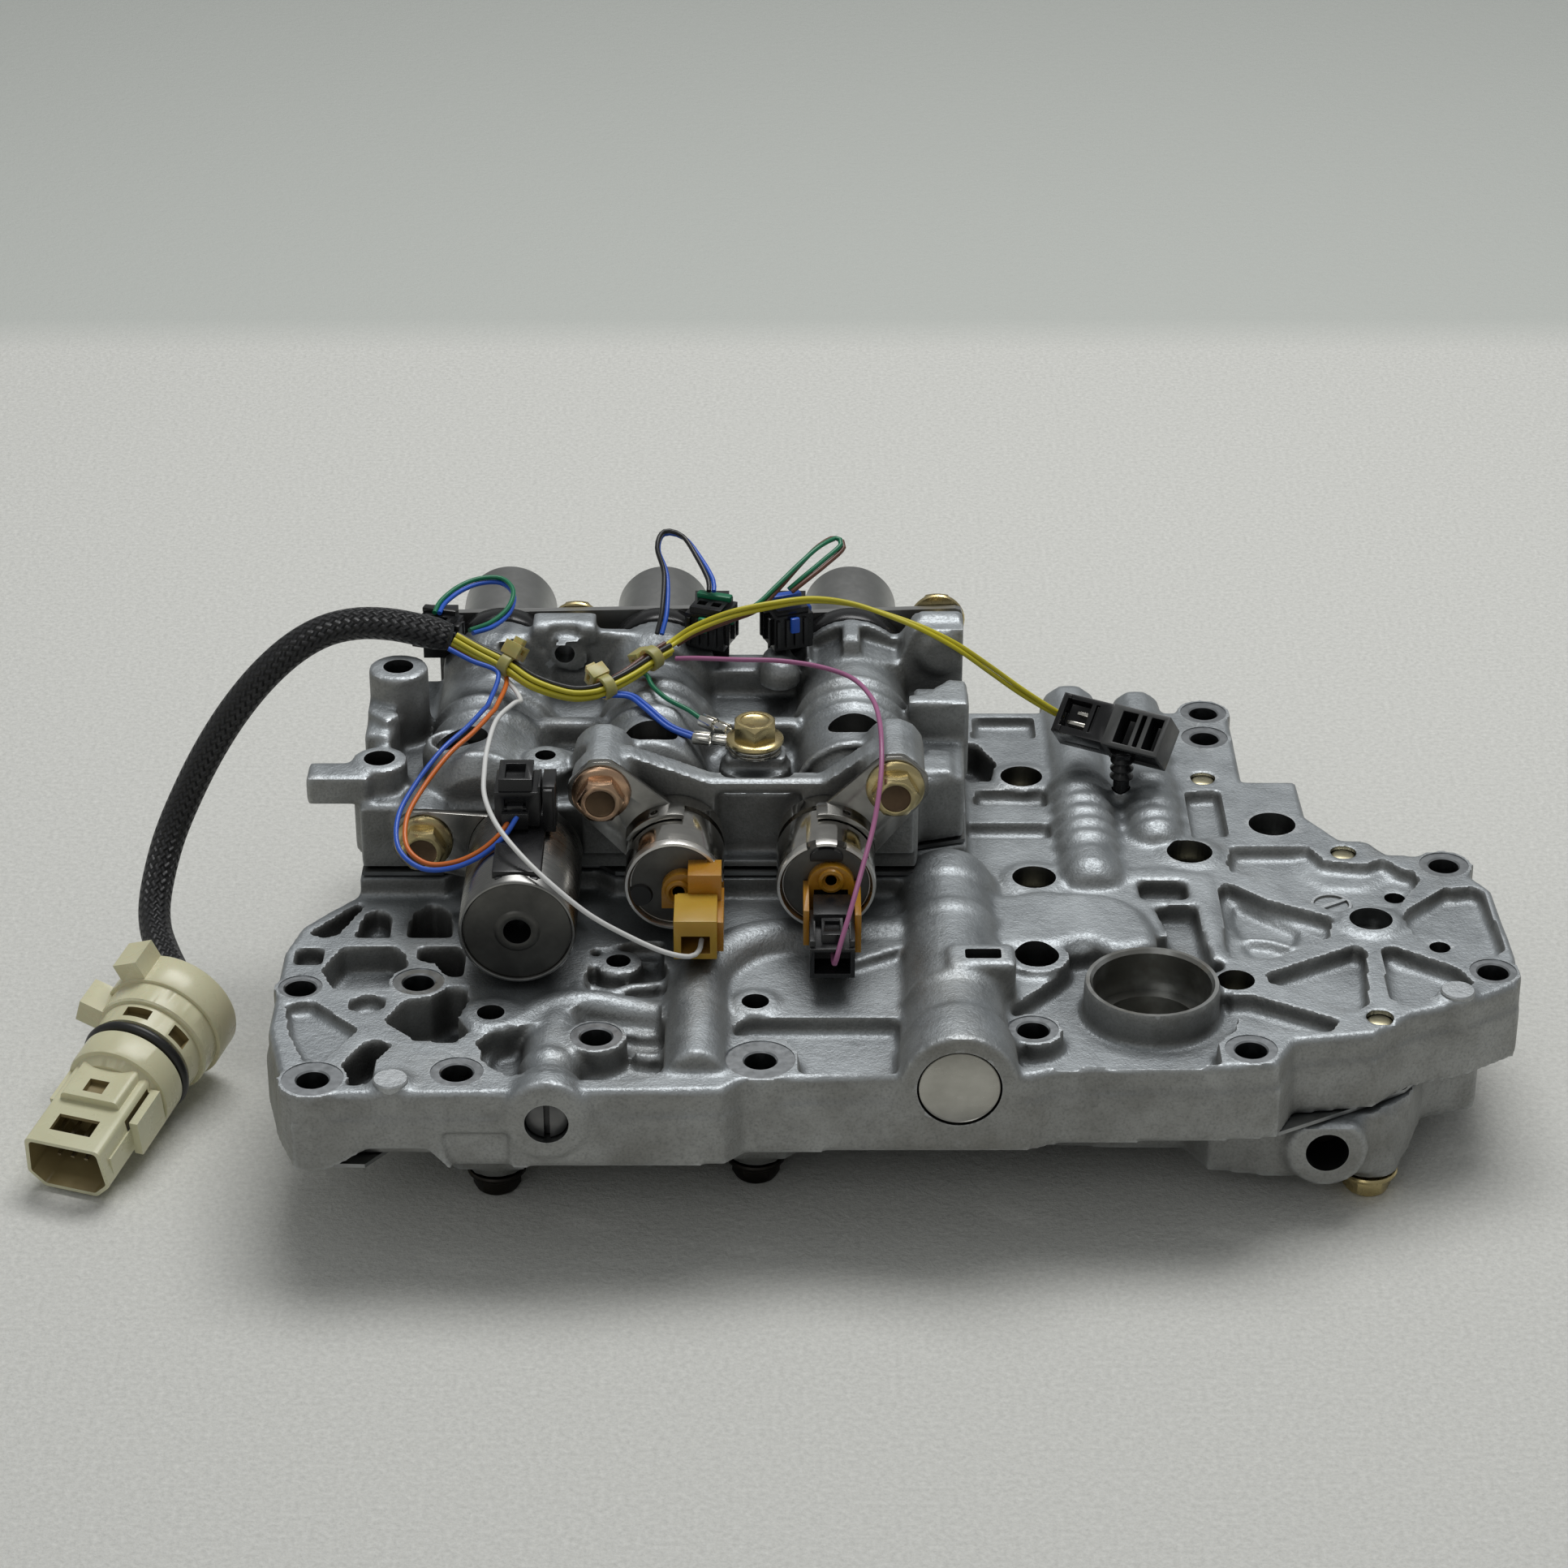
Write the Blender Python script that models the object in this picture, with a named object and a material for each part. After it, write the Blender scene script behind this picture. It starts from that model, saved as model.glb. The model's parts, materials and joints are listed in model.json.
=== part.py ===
"""Valve body of an automatic transmission, as it lies on a bench.

Two thin steel separator plates split a stack of three die-cast aluminium castings. The upper
casting carries six solenoids, three at the front and three at the rear, and their wiring loom.
Three spool valves slide in bores along Y. Every size below is in millimetres, in a datum frame:
X to the right, Y away from the front edge of the main casting, Z up from the bench.
"""
from math import atan2, cos, pi, radians, sin, sqrt

import bpy
from mathutils import Matrix, Vector

MM = 0.001

# The model's origin, on the bench below the middle of the assembly
ORIGIN_X = 27.9
ORIGIN_Y = 96.0

# Clearances
GAP = 0.3            # between pieces that touch
FIT = 0.12           # round a valve that slides in its bore
PRESS_FIT = 0.3      # round a plug, a nozzle or a bolt in its hole

# Heights of the stack
LOWER_Z = 6.4
LOWER_THICKNESS = 20.0
PLATE_THICKNESS = 1.0
MAIN_THICKNESS = 20.0
PLATFORM_RISE = 5.4
UPPER_PLATE_THICKNESS = 1.0
UPPER_THICKNESS = 17.5
LOWER_TOP = LOWER_Z + LOWER_THICKNESS
MAIN_Z = LOWER_TOP + PLATE_THICKNESS + 2 * GAP
DECK_Z = MAIN_Z + MAIN_THICKNESS
PLATFORM_Z = DECK_Z + PLATFORM_RISE
UPPER_Z = PLATFORM_Z + UPPER_PLATE_THICKNESS + 2 * GAP
UPPER_FLOOR = UPPER_Z + UPPER_THICKNESS

# Bolts
BOLT_R = 3.0
BOLT_HEX = 10.0
FLANGE_R = 7.2
FLANGE_T = 1.5
HEAD_H = 6.1
CASE_HOLE_R = 3.75   # holes for the bolts that fix the assembly in the gearbox
BOSS_R = 7.5
ROUND = 12

# Bores and valves
REGULATOR_X = 40.5
REGULATOR_Z = 45.0
REGULATOR_FACE_Y = 4.6
REGULATOR_BOSS_R = 13.5
REGULATOR_R = 7.4
REGULATOR_BORE_END = 93.0
REGULATOR_PLUG_R = 9.6
MODIFIER_X = -54.5
MODIFIER_Z = 40.5
MODIFIER_FACE_Y = -3.2
MODIFIER_R = 5.0
MODIFIER_BORE_END = 44.0
MANUAL_X = 128.5
MANUAL_Z = 18.5
MANUAL_FACE_Y = 18.0
MANUAL_R = 5.0
MANUAL_BORE_END_Y = 104.0

# Strainer socket
SOCKET_X = 87.5
SOCKET_Y = 41.0
SOCKET_R = 14.2
SOCKET_WALL = 2.1
SOCKET_TOP = 52.0
SOCKET_DEPTH = 11.0

# Solenoids
FRONT_WALL_Y = 90.0
REAR_WALL_Y = 159.0
PRESSURE_X = -63.2
PRESSURE_Z = 64.0
PRESSURE_R = 14.0
PRESSURE_FACE_Y = 43.5
SHIFT_X = (-26.5, 10.2)
SHIFT_Z = 64.5
SHIFT_R = 12.0
SHIFT_FACE_Y = 64.5
NOZZLE_R = 8.5
NOZZLE_LENGTH = 13.0
REAR_X = (-73.0, -32.0, 17.5)
REAR_Z = 75.5
REAR_R = 12.3
REAR_END_Y = 196.0
REAR_BODY_R = 14.5
REAR_BODY_T = 6.4
REAR_PLATE_T = 2.0
BRACKET_T = 1.8
BRACKET_Y = 81.3

# Bolts that hold the three front brackets, as (x, z), and their boss faces
BRACKET_BOLTS = ((-88.0, 67.7), (-44.4, 81.3), (27.0, 82.8))
BRACKET_BOSS_R = 7.6
BRACKET_BOSS_Y = BRACKET_Y + BRACKET_T + GAP
REAR_BOLTS = ((-54.2, 82.7), (40.0, 84.8))

# Ground bolt and its boss on the upper casting
GROUND_X = -7.2
GROUND_Y = 105.0
GROUND_BOSS_Z = 80.0
GROUND_BOSS_R = 8.0
TERMINAL_T = 0.8

# Bolts from below, as (x, y, height of the tip)
BOTTOM_BOLTS = (
    (140.6, 31.5, 46.6), (141.5, 110.5, 46.6), (109.5, 150.0, 46.6), (-69.2, 32.0, 43.5),
    (-6.8, 37.0, 43.0), (-40.0, 165.0, 44.0),
)

# Wires and the sleeve of the loom
WIRE_R = 0.85
TRUNK_R = 3.1
SLEEVE_R = 4.1
TIE_WALL = 1.1
TIE_WIDTH = 2.6

# Case connector, along its own axis from the rear face
CASE_DRUM_R = 16.4
CASE_DRUM_LENGTH = 22.0
CASE_BARREL_R = 13.2
CASE_BARREL_LENGTH = 46.0
CASE_LENGTH = 71.0
CASE_RING_R = 14.1
CASE_RING_Z = 33.5
CASE_SHROUD = (22.0, 15.0)
CASE_WALL = 1.6
CASE_BACK_DEPTH = 11.5
CASE_REAR = (-148.4, 92.3, 21.0)
CASE_NOSE = (-171.5, 27.5, 8.7)


# Materials

def material(name, colour, metallic, roughness):
    """A Principled material."""
    result = bpy.data.materials.new(name)
    result.use_nodes = True
    shader = result.node_tree.nodes["Principled BSDF"]
    shader.inputs["Base Color"].default_value = (*colour, 1.0)
    shader.inputs["Metallic"].default_value = metallic
    shader.inputs["Roughness"].default_value = roughness
    result.diffuse_color = (*colour, 1.0)
    return result


def make_materials():
    return {
        "cast": material("cast_aluminium", (0.42, 0.44, 0.46), 0.85, 0.42),
        "turned": material("turned_aluminium", (0.72, 0.73, 0.74), 0.95, 0.3),
        "steel": material("plate_steel", (0.30, 0.31, 0.32), 0.9, 0.4),
        "nickel": material("nickel_plate", (0.62, 0.60, 0.56), 1.0, 0.22),
        "can": material("dark_can", (0.20, 0.20, 0.20), 0.8, 0.45),
        "zinc": material("yellow_zinc", (0.62, 0.50, 0.26), 1.0, 0.3),
        "copper": material("copper_tint", (0.62, 0.40, 0.26), 1.0, 0.3),
        "tin": material("tinned_terminal", (0.72, 0.71, 0.68), 1.0, 0.28),
        "amber": material("amber_plastic", (0.62, 0.36, 0.06), 0.0, 0.4),
        "black": material("black_plastic", (0.02, 0.02, 0.022), 0.0, 0.4),
        "ivory": material("ivory_plastic", (0.66, 0.62, 0.44), 0.0, 0.45),
        "rubber": material("black_rubber", (0.012, 0.012, 0.012), 0.0, 0.5),
        "sleeve": material("braided_sleeve", (0.02, 0.02, 0.02), 0.0, 0.8),
        "tie": material("nylon_tie", (0.56, 0.50, 0.22), 0.0, 0.4),
        "yellow": material("yellow_wire", (0.60, 0.55, 0.05), 0.0, 0.4),
        "blue": material("blue_wire", (0.05, 0.16, 0.55), 0.0, 0.4),
        "white": material("white_wire", (0.80, 0.80, 0.80), 0.0, 0.4),
        "purple": material("purple_wire", (0.33, 0.12, 0.24), 0.0, 0.4),
        "green": material("green_wire", (0.02, 0.24, 0.10), 0.0, 0.4),
    }


# Shapes: each is a pair (vertices, faces) in millimetres

def circle(x, y, radius, count=ROUND, start=0.0):
    """Points round a circle, anticlockwise."""
    return [(x + radius * cos(start + 2 * pi * i / count), y + radius * sin(start + 2 * pi * i / count))
            for i in range(count)]


def ellipse(x, y, rx, ry, count=12):
    return [(x + rx * cos(2 * pi * i / count), y + ry * sin(2 * pi * i / count)) for i in range(count)]


def rounded(points, radius, steps=2):
    """The outline with each corner turned into a short arc."""
    result = []
    count = len(points)
    for i, corner in enumerate(points):
        here = Vector(corner)
        back = Vector(points[i - 1]) - here
        ahead = Vector(points[(i + 1) % count]) - here
        reach = min(radius, back.length * 0.45, ahead.length * 0.45)
        first = here + back.normalized() * reach
        last = here + ahead.normalized() * reach
        for k in range(steps + 1):
            t = k / steps
            point = first * (1 - t) ** 2 + here * 2 * t * (1 - t) + last * t ** 2
            result.append((point.x, point.y))
    return result


def inset(points, distance):
    """The outline moved inwards by a distance, with mitred corners."""
    result = []
    count = len(points)
    for i, corner in enumerate(points):
        here = Vector(corner)
        along_in = (here - Vector(points[i - 1])).normalized()
        along_out = (Vector(points[(i + 1) % count]) - here).normalized()
        normal = Vector((-along_in.y - along_out.y, along_in.x + along_out.x))
        normal.normalize()
        share = max(0.4, normal.dot(Vector((-along_in.y, along_in.x))))
        moved = here + normal * distance / share
        result.append((moved.x, moved.y))
    return result


def lofted(rings):
    """A closed solid through rings of points, each with the same count, from the first to the last."""
    count = len(rings[0])
    vertices = [tuple(point) for ring in rings for point in ring]
    faces = [tuple(reversed(range(count)))]
    for level in range(len(rings) - 1):
        low = level * count
        for i in range(count):
            j = (i + 1) % count
            faces.append((low + i, low + j, low + count + j, low + count + i))
    top = (len(rings) - 1) * count
    faces.append(tuple(range(top, top + count)))
    return vertices, faces


def prism(points, z0, z1, chamfer=0.0):
    """An outline raised from z0 to z1, with an optional chamfer round its top."""
    rings = [[(x, y, z0) for x, y in points], [(x, y, z1 - chamfer) for x, y in points]]
    if chamfer:
        rings.append([(x, y, z1) for x, y in inset(points, chamfer)])
    return lofted(rings)


def box(x0, x1, y0, y1, z0, z1, chamfer=0.0):
    return prism([(x0, y0), (x1, y0), (x1, y1), (x0, y1)], z0, z1, chamfer)


def pillar(x, y, radius, z0, z1, count=ROUND, chamfer=0.0):
    return prism(circle(x, y, radius, count), z0, z1, chamfer)


def turned(profile, count=20):
    """A solid of revolution about local Z through (distance along the axis, radius) pairs."""
    return lofted([[(x, y, along) for x, y in circle(0, 0, radius, count)] for along, radius in profile])


def placed(shape, matrix):
    vertices, faces = shape
    return [tuple(matrix @ Vector(v)) for v in vertices], faces


def along_y(x, z):
    """Frame that turns local Z to run along Y, on the line at x and z."""
    return Matrix.Translation((x, 0, z)) @ Matrix.Rotation(-pi / 2, 4, "X")


def turned_y(x, z, profile, count=20):
    """A turned solid along Y, whose profile pairs are (y, radius)."""
    return placed(turned(profile, count), along_y(x, z))


def wall_y(points, y0, y1):
    """An outline of (x, z) points, anticlockwise as seen from the front, given depth from y0 to y1."""
    standing = Matrix.Rotation(pi / 2, 4, "X")
    return placed(prism(points, -y1, -y0), standing)


def merged(shapes):
    vertices = []
    faces = []
    for more_vertices, more_faces in shapes:
        base = len(vertices)
        vertices.extend(more_vertices)
        faces.extend(tuple(base + i for i in face) for face in more_faces)
    return vertices, faces


def mesh_of(name, shape, origin=(0.0, 0.0, 0.0), scale=1.0):
    vertices, faces = shape
    mesh = bpy.data.meshes.new(name)
    mesh.from_pydata([tuple((c - o) * scale for c, o in zip(v, origin)) for v in vertices], [], faces)
    mesh.validate()
    return mesh


def combined(base, tools, operation):
    """The base with the tools joined to it (UNION) or cut from it (DIFFERENCE)."""
    body = bpy.data.objects.new("body", mesh_of("body", base))
    tool = bpy.data.objects.new("tool", mesh_of("tool", merged(tools)))
    bpy.context.scene.collection.objects.link(body)
    bpy.context.scene.collection.objects.link(tool)
    step = body.modifiers.new("step", "BOOLEAN")
    step.operation = operation
    step.use_self = True
    step.object = tool
    depsgraph = bpy.context.evaluated_depsgraph_get()
    mesh = bpy.data.meshes.new_from_object(body.evaluated_get(depsgraph))
    result = ([tuple(v.co) for v in mesh.vertices], [tuple(p.vertices) for p in mesh.polygons])
    bpy.data.objects.remove(body)
    bpy.data.objects.remove(tool)
    return result


def joined(base, tools):
    return combined(base, tools, "UNION")


def cut(base, tools):
    return combined(base, tools, "DIFFERENCE")


# Routes of wires

def smooth_route(points, spacing):
    """Points about a spacing apart on the smooth curve through the route's own points."""
    knots = [Vector(p) for p in points]
    knots = [2 * knots[0] - knots[1]] + knots + [2 * knots[-1] - knots[-2]]
    fine = []
    for i in range(1, len(knots) - 2):
        a, b, c, d = knots[i - 1:i + 3]
        for k in range(12):
            t = k / 12
            fine.append(0.5 * (2 * b + (c - a) * t + (2 * a - 5 * b + 4 * c - d) * t ** 2
                               + (3 * b - a - 3 * c + d) * t ** 3))
    fine.append(knots[-2])
    steps = [(q - p).length for p, q in zip(fine, fine[1:])]
    count = max(2, round(sum(steps) / spacing))
    wanted = [sum(steps) * i / count for i in range(1, count)]
    result = [fine[0]]
    travelled = 0.0
    for p, q, step in zip(fine, fine[1:], steps):
        while wanted and travelled + step >= wanted[0]:
            result.append(p.lerp(q, (wanted.pop(0) - travelled) / step))
        travelled += step
    result.append(fine[-1])
    return result


def swept(points, section, spacing):
    """A section of (side, up) points carried along a smooth route."""
    path = smooth_route(points, spacing)
    side = (path[1] - path[0]).cross(Vector((0, 0, 1))).normalized()
    rings = []
    for i, point in enumerate(path):
        ahead = (path[min(i + 1, len(path) - 1)] - path[max(i - 1, 0)]).normalized()
        side = (side - ahead * side.dot(ahead)).normalized()
        up = ahead.cross(side)
        rings.append([tuple(point + side * a + up * b) for a, b in section])
    return lofted(rings)


def single_section(radius, count=6):
    return circle(0, 0, radius, count, pi / count)


def twin_section():
    """Two wires side by side that touch: one waisted outline."""
    offset = WIRE_R
    half = [(offset + WIRE_R * cos(a), WIRE_R * sin(a)) for a in (radians(-110), radians(-35), radians(35), radians(110))]
    return half + [(-x, -y) for x, y in half]


# Main casting

MAIN_OUTLINE = (
    (-113, -3.5), (-14, -1.5), (-9, 3.5), (24, 4.4), (57, 4.6), (64, 7.5), (101, 8.5), (115, 10),
    (120, 20), (139, 23), (149, 32), (164, 37.5), (176.5, 46), (178, 60), (177, 92), (173, 99),
    (172, 109), (153, 111), (149, 117.5), (142, 118.5), (135, 130), (134.5, 149), (120.5, 149.5),
    (120.5, 188.5), (-106, 188.5), (-106, 90), (-113, 82), (-119, 74), (-122, 62), (-122, 26), (-118, 9),
)
PARTING_Z = 41.0
PARTING_STEP = 0.8
PLATFORM_OUTLINE = (
    (-105, 88), (-84, 88), (-80, 92), (-46, 92), (-42, 88), (33, 88), (33, 101), (46, 105), (47, 161), (-104, 161),
)

# Bosses with a through hole for a case bolt, as (x, y, boss radius)
CASE_BOSSES = (
    (-108.5, 4.5, 8.5), (-75.5, 7.5, 7.5), (-115.5, 45, 6.6), (-87.5, 47.5, 7.5), (-44, 23, 7.5), (-5.5, 12.7, 9.5),
    (58.5, 26, 7.3), (108.8, 17.3, 7.5), (170.5, 52.3, 7.0), (166, 104, 7.5), (113, 187, 7.5), (112, 172.5, 7.5),
)
# Cast pockets in the deck, as (depth, outline)
DECK_POCKETS = (
    (3.0, ((-118, 37), (-116, 25), (-111, 11.5), (-107, 12), (-100, 26), (-112, 38.5))),
    (5.0, ((-118, 55.5), (-111.5, 55.5), (-111.5, 63), (-118, 63))),
    (8.0, ((-111, 53), (-107.5, 44.5), (-94.5, 45), (-91, 53), (-91.5, 60), (-95, 64), (-107, 63.5))),
    (6.0, ((-116, 70), (-112, 68), (-109, 70), (-103.5, 84), (-104, 86), (-108, 81))),
    (6.0, ((-104.5, 68), (-96, 68), (-97, 79), (-100, 81.5), (-103, 79))),
    (12.0, ((-92, 68), (-81, 68), (-82, 80), (-86.5, 85), (-91, 80))),
    (3.5, ((-103, 35), (-98, 33), (-94.5, 36), (-95, 40), (-99, 41.5), (-103, 39))),
    (13.0, ((-94, 30), (-86, 21), (-77, 20.5), (-74, 25), (-77, 31), (-75, 39), (-76, 45), (-80, 45), (-84, 40.5),
            (-90, 39))),
    (12.0, ((-88.5, 58), (-84, 56), (-81, 50), (-77, 50), (-77, 60), (-79, 64), (-88.5, 63.5))),
    (10.0, ((-101, 5), (-100, 1.5), (-95, 3), (-95, 12), (-91.5, 19), (-95, 21.5), (-98, 20), (-103, 9))),
    (6.0, ((-69, 14), (-64, 6), (-62, 6), (-62, 27), (-68, 26), (-72, 20))),
    (5.0, ((-52, 4), (-33, 4), (-29, 8), (-29, 42), (-47, 42), (-49, 36), (-52, 34))),
    (4.0, ((-47, 47), (-29, 46), (-29, 66), (-36, 66), (-47, 62))),
    (4.0, ((4, 7), (26, 7), (26, 28), (-11, 29), (-12, 24), (1, 22))),
    (5.0, ((53, 10), (65, 9.5), (101, 10.5), (101, 20), (106, 26), (107, 34), (106, 60), (101, 68), (75, 70),
           (69, 68), (66, 50), (54, 36), (53, 22))),
    (4.0, ((108.5, 60), (134, 72.5), (134.5, 78), (108, 93))),
    (4.0, ((116.5, 47), (133, 39.5), (138.5, 43), (138.5, 62.5), (117, 51))),
    (4.0, ((144.5, 43), (158, 41), (165, 47), (162, 54), (148, 64), (145, 63))),
    (3.5, ((152, 77), (167, 61), (173, 63), (172.5, 86), (165, 93), (154, 82))),
    (3.0, ((112, 101), (139, 83.5), (147, 84.5), (158, 98), (151, 107), (146, 104), (136, 106), (133, 113), (113, 113))),
    (4.5, ((105, 33), (112, 27), (128, 25), (131, 30), (111, 41.5), (106, 41))),
    (3.5, ((104, 118), (113, 119), (113, 143), (104, 142))),
    (4.0, ((45, 150), (54, 148), (55, 158), (47, 172))),
    (3.0, ((40, 118), (68, 118), (68, 125), (40, 125))),
    (3.0, ((49, 136), (68, 135), (68, 143), (50, 143))),
    (3.0, ((50, 172), (67, 172), (67, 184), (51, 184))),
)
# Blind round recesses, as (x, y, radius, depth)
DECK_RECESSES = (
    (62, 149.5, 5.5, 10.0), (102.5, 109.5, 5.8, 9.0), (62.5, 96.5, 5.5, 9.0), (-40, 57.5, 3.0, 9.0),
    (119.5, 97.5, 2.2, 8.0), (152.5, 93.7, 2.6, 8.0), (160.5, 70, 2.6, 8.0), (-7, 50, 0.0, 0.0),
)
REGULATOR_STEPS = ((4.6, 13.5), (21.0, 13.5), (23.0, 11.8), (42.0, 11.8), (43.0, 12.4), (62.0, 12.4), (63.0, 11.4),
                   (82.0, 11.4), (83.0, 12.0), (96.0, 12.0), (100.5, 8.0))
SERVO_BORES = ((77.0, 8.0, 97.0, 196.0), (95.0, 7.2, 118.0, 194.0))
SERVO_AXIS_Z = 45.0
RIB_PITCH = 13.0
RIBS = 3
FLANGE_HOLE = (125.0, 125.0, 6.0)
SENSOR_HOLE = (87.2, 139.0, 2.2)
PORT = (41.0, 55.0, 51.0, 62.0)
WORM_PATH = ((-20, 7, 45), (-20, 30, 45), (-20, 47, 45), (-16.5, 58, 45), (-8, 66, 45), (4, 69.5, 45), (30, 70, 45))
WORM_R = 6.8


def outline(points):
    return [tuple(map(float, point)) for point in points]


def ribbed_bore(x, radius, y0, y1):
    """A long round housing along Y whose middle carries cross ribs."""
    profile = [(y0, radius * 0.55), (y0 + 3, radius)]
    y = y0 + 12
    while y < y0 + 12 + RIBS * RIB_PITCH:
        profile += [(y, radius), (y + 1, radius + 1.0), (y + 4, radius + 1.0), (y + 5, radius)]
        y += RIB_PITCH
    profile += [(y1 - 2, radius), (y1, radius * 0.8)]
    return turned_y(x, SERVO_AXIS_Z, profile, 10)


def strainer_socket():
    return pillar(SOCKET_X, SOCKET_Y, SOCKET_R + SOCKET_WALL, MAIN_Z + 4, SOCKET_TOP, 24, 0.6)


def worm_channel():
    """The raised fluid channel that curls from the front edge to the middle of the deck."""
    return swept(WORM_PATH, single_section(WORM_R, 10), 8.0)


def deck_features():
    """Everything that stands up from the deck of the main casting."""
    shapes = [pillar(x, y, r, DECK_Z - 14, DECK_Z) for x, y, r in CASE_BOSSES]
    shapes += [
        prism(outline(PLATFORM_OUTLINE), DECK_Z - 2, PLATFORM_Z),
        turned_y(REGULATOR_X, REGULATOR_Z, REGULATOR_STEPS, 20),
        turned_y(MODIFIER_X, MODIFIER_Z, ((MODIFIER_FACE_Y, 9.2), (6, 9.2), (9, 7.9), (44, 7.9), (48, 5)), 16),
        strainer_socket(),
        worm_channel(),
        box(*PORT, DECK_Z - 9, SOCKET_TOP, 0.6),
        pillar(61, 57, 8.0, DECK_Z - 9, DECK_Z + 1.5),
        prism(outline(((52, 66), (56, 61), (68, 60), (82, 64), (91, 74), (92, 90), (86, 97), (52, 92))),
              DECK_Z - 9, DECK_Z + 2.5, 1.5),
        pillar(144, 75.5, 7.5, DECK_Z - 9, DECK_Z + 0.8),
        pillar(136, 88, 5.2, DECK_Z - 9, DECK_Z - 0.5, 10),
        pillar(160, 41.5, 4.0, DECK_Z - 9, DECK_Z - 0.5, 8),
        pillar(-90.5, 3.3, 4.0, DECK_Z - 14, DECK_Z + 0.3, 8),
        pillar(-40, 57.5, 6.0, DECK_Z - 9, DECK_Z - 0.5),
        pillar(-69.2, 32, 7.5, DECK_Z - 16, DECK_Z),
        pillar(-6.8, 37, 5.0, DECK_Z - 9, DECK_Z, 10),
        prism(outline(((-50, 43), (-28, 42), (-28, 46), (-50, 47.5))), DECK_Z - 9, DECK_Z + 0.4, 0.6),
        prism(outline(((112, 67), (124, 70), (127, 75), (123, 82), (114, 84))), DECK_Z - 9, DECK_Z - 1.5, 0.8),
    ]
    shapes += [ribbed_bore(*bore) for bore in SERVO_BORES]
    return shapes


def main_holes():
    """Holes, bores and sockets, cut last so that they stay crisp."""
    low = MAIN_Z - 2
    shapes = [pillar(x, y, CASE_HOLE_R, low, DECK_Z + 9) for x, y, _ in CASE_BOSSES]
    shapes += [pillar(x, y, BOLT_R + PRESS_FIT, low, DECK_Z + 9 if z > 46 or z < 43.8 else z + 1, 12)
               for x, y, z in BOTTOM_BOLTS]
    shapes += [pillar(x, y, r, DECK_Z - depth, DECK_Z + 9, 12) for x, y, r, depth in DECK_RECESSES if r]
    x, y, r = FLANGE_HOLE
    shapes.append(pillar(x, y, r, low, DECK_Z + 9, 20))
    x, y, r = SENSOR_HOLE
    shapes.append(pillar(x, y, r + PRESS_FIT, DECK_Z - 9, DECK_Z + 9, 10))
    bore = REGULATOR_R + FIT
    shapes += [
        pillar(SOCKET_X, SOCKET_Y, SOCKET_R, SOCKET_TOP - SOCKET_DEPTH, SOCKET_TOP + 5, 24),
        pillar(SOCKET_X, SOCKET_Y, SOCKET_R - 3, MAIN_Z + 5, SOCKET_TOP, 16),
        box(PORT[0] + 2.6, PORT[1] - 2.8, PORT[2] + 2.6, PORT[3] - 2.8, DECK_Z - 5, SOCKET_TOP + 3),
        pillar(61, 57, 5.4, MAIN_Z + 9, DECK_Z + 9, 14),
        pillar(144, 75.5, 5.3, DECK_Z - 4, DECK_Z + 5, 14),
        pillar(144, 75.5, 2.5, MAIN_Z + 5, DECK_Z, 10),
        turned_y(REGULATOR_X, REGULATOR_Z, ((REGULATOR_FACE_Y - 6, REGULATOR_PLUG_R + PRESS_FIT),
                                            (REGULATOR_FACE_Y + 7, REGULATOR_PLUG_R + PRESS_FIT),
                                            (REGULATOR_FACE_Y + 7.01, bore), (REGULATOR_BORE_END, bore)), 20),
        turned_y(MODIFIER_X, MODIFIER_Z, ((MODIFIER_FACE_Y - 6, MODIFIER_R + FIT), (MODIFIER_BORE_END, MODIFIER_R + FIT)), 16),
        box(-94, -83.5, -8, 7, MAIN_Z - 2, MAIN_Z + 5),
    ]
    shapes += [turned_y(x, SHIFT_Z, ((50, SHIFT_R + 2 * GAP), (FRONT_WALL_Y, SHIFT_R + 2 * GAP)), 20) for x in SHIFT_X]
    return shapes


def main_casting():
    body = joined(prism(outline(MAIN_OUTLINE), MAIN_Z, PARTING_Z),
                  [prism(inset(outline(MAIN_OUTLINE), PARTING_STEP), PARTING_Z - 6, DECK_Z, 1.0)])
    body = cut(body, [prism(outline(points), DECK_Z - depth, DECK_Z + 9) for depth, points in DECK_POCKETS])
    return cut(joined(body, deck_features()), main_holes())


# Separator plates

def separator_plate():
    """The thin steel sheet below the main casting, in from its edge at the front and the left."""
    edge = outline((
        (-109, 0), (-97, -0.5), (-80, 22), (-15, 22), (20, 24), (98, 22), (104, 12), (116, 13), (138.5, 25.4), (148, 31.5),
        (158.5, 46), (176.5, 49), (175.5, 90), (170, 106), (151, 108.5), (133, 128), (117, 130), (118, 192),
        (-103, 186), (-104, 90), (-119, 62), (-119, 28),
    ))
    z = LOWER_TOP + GAP
    holes = [pillar(x, y, BOLT_R + PRESS_FIT, z - 2, z + 3, 12) for x, y, _ in BOTTOM_BOLTS]
    holes += [pillar(x, y, CASE_HOLE_R + 0.4, z - 2, z + 3, 8) for x, y, _ in CASE_BOSSES]
    holes.append(pillar(FLANGE_HOLE[0], FLANGE_HOLE[1], FLANGE_HOLE[2] + 3.0, z - 2, z + 3, 12))
    return cut(prism(edge, z, z + PLATE_THICKNESS), holes)


def upper_separator_plate():
    z = PLATFORM_Z + GAP
    return prism(inset(outline(PLATFORM_OUTLINE), 0.6), z, z + UPPER_PLATE_THICKNESS)


# Lower casting

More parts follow.
